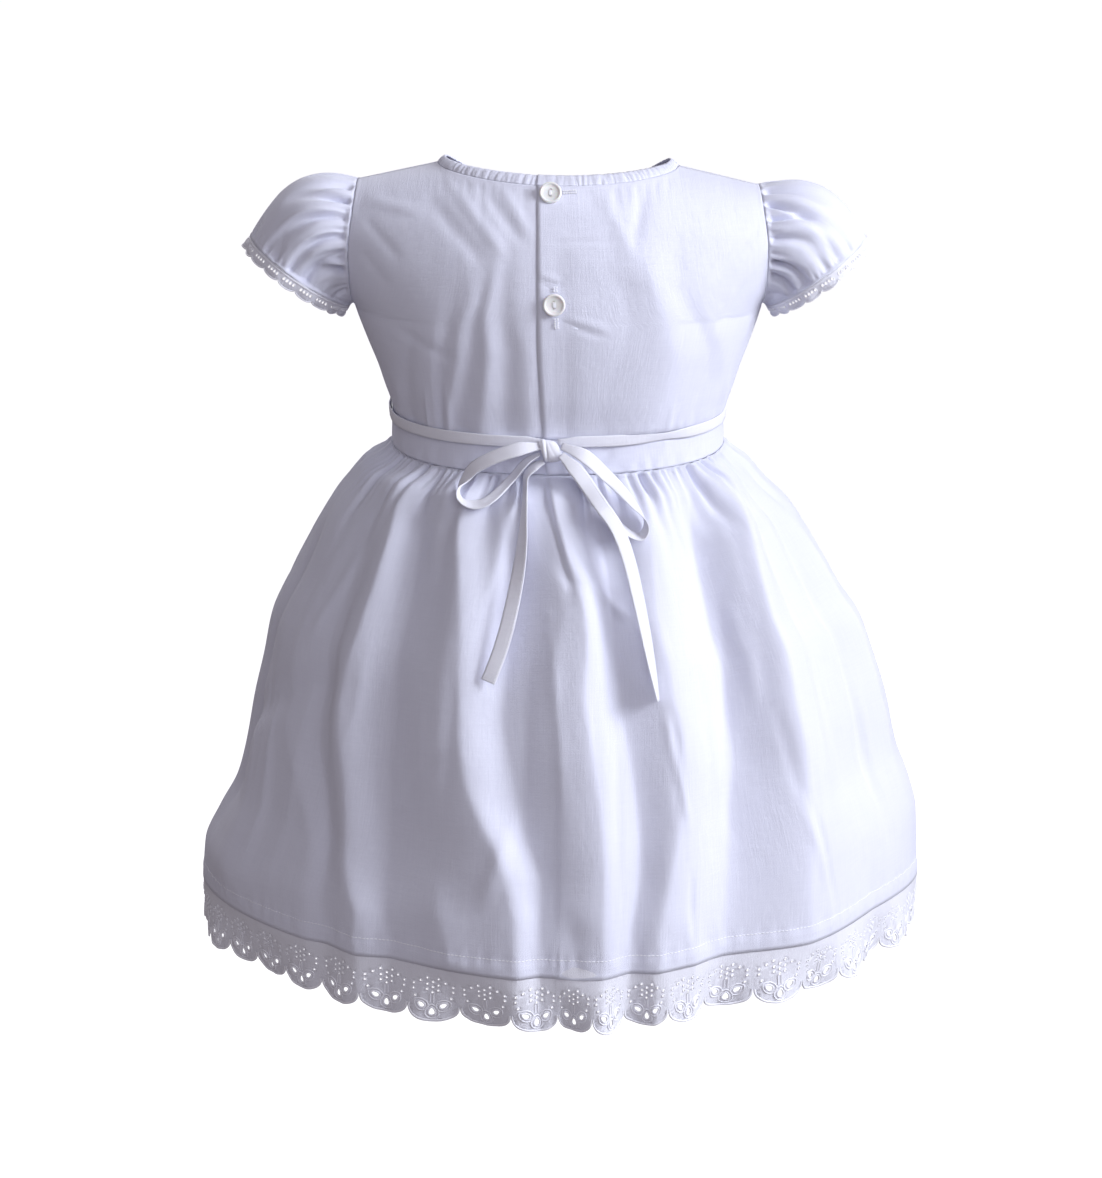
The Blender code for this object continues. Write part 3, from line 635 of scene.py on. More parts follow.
def skirt_spot(side, u, v):
    """Angle and height for a place on the panel, from the hem, v 0, to the waist seam, v 1."""
    across = 2 * u - 1
    angle = across * math.pi / 2
    top = band_seam(across, lower=True) - SEAM_GAP
    z = mix(top, hem_height(angle), (1 - v)**ROW_CROWDING)
    if side < 0:
        angle += slit_shift(across, z) * math.pi / 2
    return angle, z


def place_skirt(side, u, v):
    return skirt(side, *skirt_spot(side, u, v))


def skirt_relief(side, u, v, point):
    angle, z = skirt_spot(side, u, v)
    across = angle / (math.pi / 2)
    around = girth(z)
    s = across * around
    seam = band_seam(across, lower=True)
    below = seam - z
    rise = sum(rise_at(s, z) for rise_at in skirt_folds[side])
    shrink = around / girth(-171)
    calm = 1.0
    if side < 0:
        calm = 1 - 0.85 * ease(-0.10, -0.075, across) * ease(0.085, 0.06, across)
    drawn = sum(gathered(rows, s / shrink, below) for rows in WAIST_GATHERS[side]) * calm
    drawn += 1.5 * ease(-0.2, 3, below) * ease(46, 8, below)
    if side < 0:
        rise += creased(SKIRT_CREASES, s, z) + line_relief(s, z, around)
        off = (2 * u - 1) * around
        deep = ease(SLIT_FOOT - 4, SLIT_FOOT + 22, z)
        under = ease(0.35, -0.35, off) * ease(-22, -2, off)
        rise -= deep * (2.4 * under * ease(-168, -180, z) + 1.1 * bell(off + 1.2, 1.2))
        rise -= 2.0 * bell(math.hypot(off + 2.0, (z - SLIT_FOOT - 4) * 0.38), 3.2)
        rise += 1.6 * ridge(math.hypot(off - 6.5, (z - SLIT_FOOT - 2) * 0.35), 4.5)
        drawn -= 1.1 * under * ease(-190, -176, z)
    fade = ease(1.0, 0.93, abs(across))
    turn = z - hem_height(angle)
    hem = 0.45 * ease(HEM_TURN + 0.5, HEM_TURN - 0.7, turn) - 0.35 * bell(turn - HEM_TURN, 0.7)
    pucker = 0.35 * math.sin(s * 0.62 + 2.2 * math.sin(s * 0.11)) * bell(turn - HEM_TURN + 1, 5)
    return (rise * ease(0, 12, below) + drawn * ease(-0.4, 1.2, below)) * fade + hem + pucker * fade


class Surface:
    """Positions and normals of a grid piece's vertices, read by (u, v) to sew other pieces on to it."""

    def __init__(self, piece, columns, rows):
        self.columns = columns
        self.rows = rows
        self.spots = [(vert.co / MM, vert.normal.copy()) for vert in piece.data.vertices]

    def at(self, u, v):
        x = min(max(u, 0.0), 1.0) * self.columns
        y = min(max(v, 0.0), 1.0) * self.rows
        i = min(int(x), self.columns - 1)
        j = min(int(y), self.rows - 1)
        point = Vector()
        normal = Vector()
        for di, fx in ((0, i + 1 - x), (1, x - i)):
            for dj, fy in ((0, j + 1 - y), (1, y - j)):
                co, out = self.spots[(j + dj) * (self.columns + 1) + i + di]
                point += co * (fx * fy)
                normal += out * (fx * fy)
        return point, normal.normalized()


SKIRT_COLUMNS = 300
SKIRT_ROWS = 138
skirt_surface = {}
for side, word in ((-1, "back"), (1, "front")):
    panel = cloth(f"skirt_{word}_cloth", SKIRT_COLUMNS, SKIRT_ROWS,
                  lambda u, v, side=side: place_skirt(side, u, v), INSIDE_SKIRT, (620, 268),
                  lambda u, v, point, side=side: skirt_relief(side, u, v, point))
    sewn(panel, f"skirt_{word}")
    skirt_surface[side] = Surface(panel, SKIRT_COLUMNS, SKIRT_ROWS)


# ---------------------------------------------------------------- stitches
# Machine stitches and the buttons' threads are white cotton sewing thread. Each stitch lies on the cloth
# as a short raised stroke with rounded ends.

thread = Finish("white_sewing_thread", Roughness=0.62, Sheen_Weight=0.2)
thread.shader.inputs["Base Color"].default_value = (0.95, 0.95, 0.99, 1)


def join_rings(bm, rings):
    for a, b in zip(rings, rings[1:]):
        for k in range(len(a)):
            bm.faces.new((a[k], a[(k + 1) % len(a)], b[(k + 1) % len(b)], b[k]))


def add_stroke(bm, start, end, out, width, height):
    """A raised stroke from start to end with tapered ends, standing on a surface facing out."""
    run = (end - start).normalized()
    side = run.cross(out).normalized()
    rings = []
    for t, share in ((0.0, 0.35), (0.18, 0.9), (0.5, 1.0), (0.82, 0.9), (1.0, 0.35)):
        middle = start.lerp(end, t)
        ring = []
        for k in range(6):
            turn = math.tau * k / 6
            ring.append(bm.verts.new(middle + side * (math.cos(turn) * width / 2 * share)
                                     + out * (math.sin(turn) * height / 2 * share)))
        rings.append(ring)
    join_rings(bm, rings)
    bm.faces.new(rings[0])
    bm.faces.new(rings[-1])


def stitching(name, strokes, width=0.42, height=0.36):
    """Joined stitches; strokes are (start, end, out) in millimetres."""
    bm = bmesh.new()
    for start, end, out in strokes:
        add_stroke(bm, start, end, out, width, height)
    bmesh.ops.recalc_face_normals(bm, faces=bm.faces)
    return sewn(finished(name, bm, thread), None)


def run_of_stitches(spots, pitch, length, lift=0.12):
    """Strokes spaced evenly along a chain of (point, out)."""
    strokes = []
    travelled = 0.0
    due = pitch
    for (a, out_a), (b, out_b) in zip(spots, spots[1:]):
        step = (b - a).length
        while step and due <= travelled + step:
            t = (due - travelled) / step
            out = out_a.lerp(out_b, t).normalized()
            middle = a.lerp(b, t) + out * lift
            run = (b - a).normalized() * (length / 2)
            strokes.append((middle - run, middle + run, out))
            due += pitch
        travelled += step
    return strokes


def hem_line_v(side, u):
    """v at which the panel is HEM_TURN above its hem."""
    angle, foot = skirt_spot(side, u, 0)
    top = band_seam(2 * u - 1, lower=True) - SEAM_GAP
    return 1 - ((top - foot - HEM_TURN) / (top - foot))**(1 / ROW_CROWDING)


hem_strokes = []
for side in (-1, 1):
    line = [skirt_surface[side].at(i / 640, hem_line_v(side, i / 640)) for i in range(641)]
    hem_strokes += run_of_stitches(line, 2.3, 1.7)
stitching("hem_stitches", hem_strokes)


# ---------------------------------------------------------------- eyelet lace
# Broderie: fine cotton cut with small eyelets, each bound with satin stitch, in clovers of three drops
# under clusters of pinholes, with a bound scalloped edge. It is sewn behind the hem and hangs in waves.

lace = woven("white_eyelet_lace", (0.86, 0.86, 0.94), (0.80, 0.80, 0.89), 1.2)
satin = Finish("satin_stitch_thread", Roughness=0.5, Sheen_Weight=0.25)
satin.shader.inputs["Base Color"].default_value = (0.90, 0.90, 0.965, 1)

LACE_TUCK = 9.0
LACE_DROP = 31.5


def drop(x, y, length, width, turn, count=14):
    """Outline of a drop-shaped eyelet, its point upwards when turn is 0."""
    outline = []
    for k in range(count):
        a = math.tau * k / count
        px = width / 2 * math.sin(a) * (1 - 0.32 * math.cos(a))
        py = length / 2 * math.cos(a)
        outline.append((x + px * math.cos(turn) - py * math.sin(turn),
                        y + px * math.sin(turn) + py * math.cos(turn)))
    return outline


def scallop(pitch, height, count=18):
    """Lower edge of one scallop, from left to right, its ends at y 0."""
    return [(pitch * (0.5 - 0.5 * math.cos(math.pi * k / count)),
             -height * math.sin(math.pi * k / count)**0.8) for k in range(count + 1)]


def offset(outline, out):
    """The outline moved outwards by a distance."""
    centre = Vector((sum(p[0] for p in outline), sum(p[1] for p in outline))) / len(outline)
    return [tuple(Vector(p) + (Vector(p) - centre).normalized() * out) for p in outline]


def lace_tile(pitch, top, height, holes):
    """Flat tile of lace: an upright-sided strip with a scalloped foot and its holes cut out."""
    bm = bmesh.new()
    foot = scallop(pitch, height)
    rim = [(pitch, top / 2), (pitch, top), (pitch * 2 / 3, top), (pitch / 3, top), (0, top),
           (0, top / 2)]
    edges = []
    for outline in [foot + rim] + holes:
        verts = [bm.verts.new((x, y, 0)) for x, y in outline]
        edges += [bm.edges.new(pair) for pair in zip(verts, verts[1:] + verts[:1])]
    bmesh.ops.triangle_fill(bm, use_beauty=True, edges=edges, normal=(0, 0, 1))
    for y in range(int(-height) + 3, int(top), 4):
        geometry = bm.verts[:] + bm.edges[:] + bm.faces[:]
        bmesh.ops.bisect_plane(bm, geom=geometry, plane_co=(0, y, 0), plane_no=(0, 1, 0), dist=1e-4)
    for k in range(1, 7):
        geometry = bm.verts[:] + bm.edges[:] + bm.faces[:]
        bmesh.ops.bisect_plane(bm, geom=geometry, plane_co=(pitch * k / 7, 0, 0), plane_no=(1, 0, 0),
                               dist=1e-4)
    flat = [vert.co.copy() for vert in bm.verts]
    bm.verts.index_update()
    faces = [tuple(vert.index for vert in face.verts) for face in bm.faces]
    bm.free()
    return flat, faces


def strip_faces(count, closed):
    """Faces between four rows of points."""
    steps = count if closed else count - 1
    pairs = [(row * count + k, row * count + (k + 1) % count) for row in range(3) for k in range(steps)]
    return [(a, b, b + count, a + count) for a, b in pairs]


def cord_strip(outline, inner, outer, height):
    """Raised satin-stitched rim along an outline: flat points and their heights, and its faces."""
    points = []
    for out, high in ((inner, 0.0), (mix(inner, outer, 0.25), height), (mix(inner, outer, 0.75), height),
                      (outer, 0.0)):
        points += [(x, y, high) for x, y in offset(outline, out)]
    return points, strip_faces(len(outline), True)


def edge_strip(outline, width, height):
    """Bound edge along an open outline, its band above it."""
    points = []
    count = len(outline)
    for share, high in ((0.0, 0.0), (0.12, height), (0.85, height), (1.0, 0.0)):
        for k, (x, y) in enumerate(outline):
            before = Vector(outline[max(k - 1, 0)])
            after = Vector(outline[min(k + 1, count - 1)])
            run = (after - before).normalized()
            points.append((x - run.y * width * share, y + run.x * width * share, high))
    return points, strip_faces(count, False)


def lay_lace(name, tiles, pitch, tile, rims, place, inside, node, wall=0.32):
    """The lace's cloth and its bound rims, tile after tile, bent by place(x, y) -> (point, out)."""
    flat, faces = tile
    bm = bmesh.new()
    weave_map = bm.loops.layers.uv.new("cloth")
    strips = bmesh.new()
    for number in range(tiles):
        start = number * pitch
        verts = [bm.verts.new(place(start + co.x, co.y)[0]) for co in flat]
        for face in faces:
            made = bm.faces.new([verts[i] for i in face])
            for loop, i in zip(made.loops, face):
                loop[weave_map].uv = ((start + flat[i].x) * MM, flat[i].y * MM)
        for points, quads in rims:
            raised = []
            for x, y, high in points:
                point, out = place(start + x, y)
                raised.append(strips.verts.new(point + out * (high + 0.02)))
            for quad in quads:
                strips.faces.new([raised[i] for i in quad])
    bmesh.ops.remove_doubles(bm, verts=bm.verts, dist=WELD)
    bmesh.ops.recalc_face_normals(bm, faces=bm.faces)
    face_away(bm, inside)
    face_away(strips, inside)
    fabric = thicken(finished(name, bm, lace), wall)
    rim = finished(f"{name}_satin", strips, satin)
    return [sewn(fabric, node), sewn(rim, None)]


HEM_TILES = 23
HEM_PITCH = 27.0
HEM_SCALLOP = 9.5     # depth of a scallop
hem_drops = [
    drop(7.9, 0.2, 3.7, 2.3, 0.95), drop(19.1, 0.2, 3.7, 2.3, -0.95), drop(13.5, -3.6, 3.9, 2.6, 0.0),
]
hem_pins = []
for x, y in ((13.5, 10.5), (0.0, 10.0), (27.0, 10.0)):
    hem_pins += [(x + 3.4 * math.cos(math.tau * k / 6 + 0.5), y + 3.0 * math.sin(math.tau * k / 6 + 0.5))
                 for k in range(6)]
hem_pins += [(13.5, 10.5), (4.2, 4.6), (22.8, 4.6), (10.4, 15.6), (16.6, 15.6), (6.8, 13.6), (20.2, 13.6)]
hem_pins = [(x, y) for x, y in hem_pins if 1.2 < x < HEM_PITCH - 1.2]
hem_small = [drop(x, y, 1.15, 1.15, 0, 7) for x, y in hem_pins]
hem_tile = lace_tile(HEM_PITCH, LACE_TUCK + LACE_DROP - HEM_SCALLOP, HEM_SCALLOP, hem_drops + hem_small)
hem_rims = [edge_strip(scallop(HEM_PITCH, HEM_SCALLOP), 1.3, 0.42)]
for outline in hem_drops:
    hem_rims.append(cord_strip(outline, -0.05, 0.95, 0.5))
    hem_rims.append(cord_strip(outline, 1.75, 2.4, 0.42))
for outline in hem_small:
    hem_rims.append(cord_strip(outline, -0.05, 0.55, 0.34))
for x in (12.6, 14.4):
    stem = [(x, 1.6 + 0.9 * k) for k in range(7)]
    hem_rims.append(edge_strip(stem, 0.5, 0.34))

LACE_WAVES = {-1: [  # place along the panel (0 to 1), width, depth: waves of the lace's foot, out or in
    (0.03, 0.03, -4), (0.10, 0.04, 5), (0.19, 0.035, -4), (0.29, 0.03, 3), (0.355, 0.03, 7),
    (0.41, 0.025, -5),
    (0.455, 0.022, 3), (0.495, 0.018, -6), (0.53, 0.025, 6), (0.575, 0.022, -2), (0.62, 0.03, 4),
    (0.665, 0.024, -4), (0.71, 0.03, 5), (0.755, 0.02, -6), (0.80, 0.026, 5), (0.86, 0.02, -5),
    (0.905, 0.024, 4), (0.96, 0.025, -3),
], 1: [
    (0.04, 0.03, 4), (0.11, 0.035, -4), (0.18, 0.03, 5), (0.25, 0.03, -4), (0.32, 0.028, 4), (0.39, 0.03, -5),
    (0.46, 0.03, 6), (0.54, 0.03, -4), (0.61, 0.03, 5), (0.68, 0.03, -5), (0.75, 0.03, 4), (0.83, 0.03, -4),
    (0.91, 0.035, 5), (0.97, 0.025, -3),
]}


def place_hem_lace(side, x, y):
    """The lace's top lies against the inside of the hem; below the hem it hangs with its own waves."""
    u = x / (HEM_TILES * HEM_PITCH)
    surface = skirt_surface[side]
    hem, out = surface.at(u, 0.0)
    above, _ = surface.at(u, hem_line_v(side, u))
    flat_out = Vector((out.x, out.y, 0)).normalized()
    up = (above - hem) / HEM_TURN
    up.normalize()
    rise = y - (LACE_DROP - HEM_SCALLOP)
    below = max(-rise, 0) / LACE_DROP
    wave = sum(depth * bell(u - at, width) for at, width, depth in LACE_WAVES[side])
    wave *= ease(0, 0.03, u) * ease(1, 0.97, u)
    straight = mix(1.0, 0.4, ease(0, 0.6, below))
    lean = Vector((up.x * straight, up.y * straight, up.z)).normalized()
    point = hem + lean * rise - flat_out * 0.42 + flat_out * ((wave - 2.0) * below**1.2)
    return point, out


for side, word in ((-1, "back"), (1, "front")):
    strip, _ = lay_lace(f"hem_lace_{word}_cloth", HEM_TILES, HEM_PITCH, hem_tile, hem_rims,
                        lambda x, y, side=side: place_hem_lace(side, x, y), (0, 0, -440),
                        f"hem_lace_{word}")


# ---------------------------------------------------------------- bodice
# Front panel and two back halves of the same cotton. The right back half laps over the left one and its
# edge is turned in. Gathers come from the neck binding, and soft folds rise from the waist.

INSIDE_BODICE = (0, 0, -90)
SHOULDER_SHARE = 0.4   # of the grid's columns that cross the shoulder seam
EVENING = 14           # rounds that even the form out
HALF_GRID = 92         # columns and rows of a back half
HALF_ROUND = 125       # from centre back to a side seam
NECK_ACROSS = across_at(NECK_CORNER, crest(NECK_CORNER))
BODICE_FOLDS = {-1: [  # (z, x) rows, widths, depth, fades, lean
    ([(-80, -80), (-120, -86), (-150, -82)], (5, 6), -1.6, (0.4, 0.05), 1.0),
    ([(-108, -94), (-150, -89)], (3.5, 3.5), 1.2, (0.6, 0.05), 1.0),
    ([(-112, -64), (-150, -60)], (1.6, 1.4), 1.1, (0.6, 0.02), 1.0),
    ([(-118, -75), (-150, -72)], (1.5, 1.3), 0.9, (0.6, 0.02), 1.0),
    ([(-124, 64), (-150, 60)], (1.8, 1.6), 0.8, (0.6, 0.02), 1.0),
    ([(-100, 97), (-150, 91)], (2.5, 2.0), 1.0, (0.6, 0.02), 1.0),
], 1: [
    ([(-66, -58), (-110, -62), (-150, -58)], (4, 7), 3.2, (0.4, 0.05), 1.0),
    ([(-60, -40), (-110, -42), (-150, -40)], (5, 6), -2.6, (0.4, 0.05), 1.0),
    ([(-70, -12), (-110, -8), (-150, -6)], (5, 8), 3.0, (0.4, 0.05), 1.2),
    ([(-64, 14), (-110, 16), (-150, 18)], (5, 6), -2.4, (0.4, 0.05), 1.0),
    ([(-60, 44), (-110, 46), (-150, 50)], (4, 7), 3.2, (0.4, 0.05), 1.0),
    ([(-80, 70), (-120, 72), (-150, 70)], (5, 6), -2.0, (0.4, 0.05), 1.0),
]}
# Lines on the back halves where the cloth turns, crest and valley by turns, from left to right.
BODICE_LINES = [  # height out of the smooth form, (z, x) rows
    (0.0, [(-60, -90), (-150, -96)]),
    (1.5, [(-65, -66), (-79, -68), (-90, -69), (-102, -71), (-114, -71), (-126, -70), (-144, -69)]),
    (-0.9, [(-67, -58), (-78, -60), (-90, -62), (-102, -64), (-114, -66), (-126, -66.5), (-144, -66)]),
    (1.6, [(-35, -54), (-56, -50), (-67, -48), (-78, -52), (-89, -55), (-101, -56), (-113, -58),
           (-125, -60), (-143, -62)]),
    (-1.3, [(-45, -43), (-56, -41), (-67, -42), (-78, -45), (-89, -47), (-100, -48), (-112, -50),
            (-124, -52), (-142, -55)]),
    (2.0, [(-34, -37), (-45, -34), (-58, -36), (-69, -39), (-78, -41), (-89, -40), (-100, -39),
           (-112, -40), (-123, -41), (-141, -43)]),
    (-1.9, [(-26, -28), (-37, -28), (-45, -27), (-58, -30), (-69, -31), (-77, -31), (-88, -30),
            (-100, -28), (-111, -29), (-141, -29)]),
    (1.0, [(-58, -23), (-66, -22), (-77, -22), (-88, -20), (-99, -18), (-122, -17), (-137, -16)]),
    (0.3, [(-30, LAP_EDGE + 0.3), (-150, LAP_EDGE + 2)]),
    (-0.6, [(-31, 5), (-47, 0), (-69, 0), (-91, 1), (-111, 1), (-122, 2), (-134, 2), (-146, 3)]),
    (0.7, [(-34, 11), (-44, 10), (-55, 11), (-85, 13), (-111, 14), (-122, 13), (-134, 12), (-146, 10)]),
    (0.9, [(-29, 25), (-45, 26), (-55, 29), (-66, 35), (-80, 38), (-89, 37), (-100, 34), (-111, 30),
            (-123, 25), (-140, 21)]),
    (4.6, [(-35, 45), (-59, 51), (-87, 60), (-102, 62), (-113, 60), (-125, 58), (-136, 52), (-148, 46)]),
    (1.4, [(-65, 68), (-80, 75), (-92, 81), (-104, 84), (-117, 84), (-128, 79), (-139, 76), (-151, 75)]),
    (2.6, [(-66, 79), (-81, 84), (-93, 89), (-106, 92), (-121, 91), (-132, 86), (-141, 83), (-150, 82)]),
]
BODICE_CREASES = {-1: [  # x_head, z_head, x_foot, z_foot, width, depth
    (-11, -58, -2, -62, 1.5, -1.1), (-11, -55, -1, -58, 2.0, 0.7), (5, -82, 24, -89, 1.6, -0.8),
    (4, -79, 26, -85, 2.4, 0.6), (0, -38, 40, -37, 1.2, -0.2), (-14, -2, 60, -3, 1.0, -0.1),
    (-108, -30, -90, -48, 3.0, -0.6), (-110, -48, -94, -66, 2.6, -0.5), (-106, -20, -80, -24, 3.0, 0.9),
    (110, -40, 88, -58, 3.0, -0.9), (108, -62, 92, -86, 2.6, -0.9), (-70, -20, -44, -46, 4.5, -1.0),
    (-56, -14, -30, -44, 3.4, 0.8), (-40, -13, -20, -38, 3.0, -0.9), (-30, -12, -17, -32, 2.4, 0.6),
    (26, -14, 40, -44, 4.0, 0.8), (48, -14, 42, -40, 3.4, -0.9), (-90, -90, -60, -104, 3.0, -0.9),
], 1: [
    (-108, -34, -86, -54, 3.0, -1.0), (108, -34, 86, -54, 3.0, -1.0), (-70, -30, -46, -56, 4.0, -1.2),
    (70, -30, 46, -56, 4.0, -1.2), (-92, -92, -60, -104, 3.0, -0.9), (92, -92, 60, -104, 3.0, -0.9),
]}
bodice_folds = {side: [fold(*row) for row in BODICE_FOLDS[side]] for side in (-1, 1)}
bodice_lines = [(height, profile(rows), max(row[0] for row in rows)) for height, rows in BODICE_LINES]
NECK_GATHERS = {
    -1: gathers(5, 66, 5.2, (7, 26), (0.35, 1.1), 1.2, 0.05),
    1: gathers(6, 66, 5.6, (8, 30), (0.4, 1.2), 1.2, 0.05),
}
BAND_PUCKERS = gathers(8, 100, 6.4, (5, 16), (0.2, 0.7), 1.2, 0.05)


def bodice_flat(point):
    """Place on the flat cloth, by the distance round the form."""
    return Vector((across_at(point.x, point.z) * HALF_ROUND, point.z))


def bodice_height(side, across, v):
    return mix(torso_top(side, across), band_seam(across) + 0.2, (1 - v)**1.4)


def split_columns(u, outer, corner, inner):
    """Spreads columns from the outer edge over the shoulder seam, then evenly round the neck curve."""
    if u < SHOULDER_SHARE:
        return mix(outer, corner, u / SHOULDER_SHARE)
    return mix(inner, corner, math.sin(math.pi / 2 * (1 - u) / (1 - SHOULDER_SHARE)))


def place_front(u, v):
    hand = 1 if u > 0.5 else -1
    across = split_columns(1 - 2 * abs(u - 0.5), hand, hand * NECK_ACROSS, 0.0)
    return torso(1, across, bodice_height(1, across, v))


def torso_out(side, across, z):
    """Outward direction of the bodice at a point."""
    inner = max(min(across, 0.98), -0.98)
    sideways = torso(side, inner + 0.02, z) - torso(side, inner - 0.02, z)
    upwards = torso(side, inner, z + 0.5) - torso(side, inner, z - 0.5)
    out = sideways.cross(upwards).normalized()
    return out if out.y * side > 0 else -out


def place_back(hand, u, v):
    """Back half on one hand, -1 left and 1 right, from its side seam to its edge at centre back."""
    across = split_columns(u, hand, hand * NECK_ACROSS, 0.0)
    z = bodice_height(-1, across, v)
    if u > SHOULDER_SHARE:
        edge = UNDER_EDGE if hand < 0 else LAP_EDGE
        inner = across_at(edge + 3.0 * ease(-90, -150, z) * (hand > 0), z)
        across = split_columns(u, hand, hand * NECK_ACROSS, inner)
        z = bodice_height(-1, across, v)
    point = torso(-1, across, z)
    if hand < 0:
        point -= torso_out(-1, across, z) * lap_depth(point.x)
    return point


def bodice_relief(side, point):
    """Height of the folds, gathers and creases of a bodice panel."""
    x, _, z = point
    across = across_at(x, z)
    rise = sum(rise_at(x, z) for rise_at in bodice_folds[side]) + creased(BODICE_CREASES[side], x, z)
    if side < 0:
        calm = mix(0.22 if x < LAP_EDGE else 0.7, 0.85, ease(-50, -108, z))
        knots = [(course(z), height * calm * ease(head + 14, head - 26, z))
                 for height, course, head in bodice_lines]
        rise += between(knots, x, -130, 130)
    top = crest(x)
    if abs(x) < NECK_CORNER:
        top -= NECK_DROP[side] * (1 - (x / NECK_CORNER)**2)
        calm = 1 - 0.8 * ease(-16, -12, x) * ease(12, 8, x) if side < 0 else 1.0
        rise += gathered(NECK_GATHERS[side], x, top - z) * calm * ease(NECK_CORNER, 58, abs(x))
    rise += gathered(BAND_PUCKERS, x, z - band_seam(across))
    edge = ease(1.0, 0.92, abs(across))
    return rise * edge * ease(0, 5, top - z) * ease(-1, 4, z - band_seam(across))


def half_relief(hand, point):
    """A back half's folds die out at its edge under the lap, or fade towards the lap's own edge."""
    rise = bodice_relief(-1, point)
    if hand > 0:
        edge = point.x - LAP_EDGE
        rise *= ease(-1, 10, edge) * 0.9 + 0.1
        rise += 0.05 * ease(18, 12, edge)
    else:
        rise *= ease(-9, -14, point.x)
    return rise


front = sewn(cloth("bodice_front_cloth", 130, 76, place_front, INSIDE_BODICE, (250, 160),
                   lambda u, v, point: bodice_relief(1, point), unroll=bodice_flat,
                   ease_rounds=EVENING), "bodice_front")
for hand, word in ((-1, "left"), (1, "right")):
    half = cloth(f"bodice_back_{word}_cloth", HALF_GRID, HALF_GRID,
                 lambda u, v, hand=hand: place_back(hand, u, v), INSIDE_BODICE, (135, 160),
                 lambda u, v, point, hand=hand: half_relief(hand, point), unroll=bodice_flat,
                 ease_rounds=EVENING)
    sewn(half, f"bodice_back_{word}")


# ---------------------------------------------------------------- neck binding
# A narrow band of the same cotton, folded over the gathered neck edge, with close puckers all along it.

NECK_TOP_X = 64.5
NECK_TOP_Y = {-1: 45.0, 1: 64.0}
NECK_LIP = 4.0
NECK_TOP_DROP = {-1: 14.0, 1: 42.0}
PUCKERS = 150
chance = random.Random(31)
NECK_PUCKERS = [(k / PUCKERS + chance.uniform(-0.003, 0.003), chance.uniform(0.15, 0.55),
                 chance.uniform(0.0014, 0.0028), chance.uniform(-0.004, 0.004)) for k in range(PUCKERS)]


def place_neck(u, v):
    """Binding from its upper end at centre back, round the front, to its lower end beneath it."""
    start = math.asin(LAP_EDGE / NECK_CORNER)
    end = 2 * math.pi + math.asin(UNDER_EDGE / NECK_CORNER)
    turn = mix(start, end, u)
    side = 1 if math.cos(turn) < 0 else -1
    x = NECK_CORNER * math.sin(turn)
    z = crest(x) - NECK_DROP[side] * (1 - (x / NECK_CORNER)**2)
    across = across_at(x, z)
    foot = torso(side, across, z)
    top = Vector((NECK_TOP_X * math.sin(turn), side * NECK_TOP_Y[side] * abs(math.cos(turn)),
                  crest(x) + NECK_LIP - NECK_TOP_DROP[side] * math.cos(turn)**2))
    point = foot.lerp(top, mix(0.02, 1, v))
    if turn > math.pi * 1.5:
        point -= torso_out(side, across, z) * lap_depth(point.x)
    return point


def neck_relief(u, v, point):
    """Rolled over at the top edge, drawn in at the seam, and puckered."""
    rise = 0.9 * math.sin(math.pi * min(v * 0.9 + 0.1, 1.0))**0.7 - 0.35
    pull = 0.0
    for at, depth, width, slant in NECK_PUCKERS:
        off = u - at - slant * v
        if abs(off) < 3 * width:
            pull += depth * bell(off, width)
    flat = 0.35 + 0.65 * ease(0.0, 0.05, u) * ease(1.0, 0.95, u)
    return rise - pull * flat * (1.25 - 0.5 * v)


neck = sewn(cloth("neck_binding_cloth", 640, 8, place_neck, (0, 0, -12), (430, 9), neck_relief, wall=0.8),
            "neck_binding")


# ---------------------------------------------------------------- waistband
# A straight band of doubled cotton between the bodice and the skirt, lapped at centre back.

def place_band(side, first, last, u, v):
    across = mix(first, last, u)
    z = mix(band_seam(across, lower=True) + 0.05, band_seam(across) - 0.1, v)
    return torso(side, across, z)


def place_band_left(u, v):
    point = place_band(-1, -1, across_at(UNDER_EDGE, BAND_TOP - 10), u, v)
    point.y += lap_depth(point.x)
    return point


BAND_CREASES = [  # x_head, z_head, x_foot, z_foot, width, depth
    (30, -150, 24, -168, 4, -0.7), (-30, -150, -36, -168, 4, 0.6), (62, -148, 58, -167, 3, 0.5),
    (-66, -147, -70, -166, 3, -0.6),
]


def band_relief(side, v, point):
    """Full between its two seams, with small puckers where the skirt is gathered on to it."""
    across = across_at(point.x, point.z)
    seam = point.z - band_seam(across, lower=True)
    pull = 0.35 * math.sin(point.x * 0.7 + 2 * math.sin(point.x * 0.13 + side)) * bell(seam, 6)
    soft = creased(BAND_CREASES, point.x, point.z)
    return 0.45 * math.sin(math.pi * v)**0.7 + pull * ease(0, 0.1, v) + soft


band_front = sewn(cloth("waistband_front_cloth", 170, 14, lambda u, v: place_band(1, -1, 1, u, v),
                        INSIDE_BODICE, (250, 20), lambda u, v, point: band_relief(1, v, point), wall=0.8),
                  "waistband_front")
band_left = sewn(cloth("waistband_back_left_cloth", 110, 14, place_band_left, INSIDE_BODICE, (140, 20),
                       lambda u, v, point: band_relief(-1, v, point) * ease(-9, -14, point.x), wall=0.8),
                 "waistband_back_left")
band_right = sewn(cloth("waistband_back_right_cloth", 110, 14,
                        lambda u, v: place_band(-1, across_at(mix(-6.5, -9.5, v), BAND_TOP - 10), 1, u, v),
                        INSIDE_BODICE, (140, 20),
                        lambda u, v, point: band_relief(-1, v, point), wall=0.8), "waistband_back_right")


# ---------------------------------------------------------------- sleeves and their lace
# Short puffed sleeves, gathered hard into the armholes and lightly into the cuffs, and edged with a
# narrow eyelet lace.

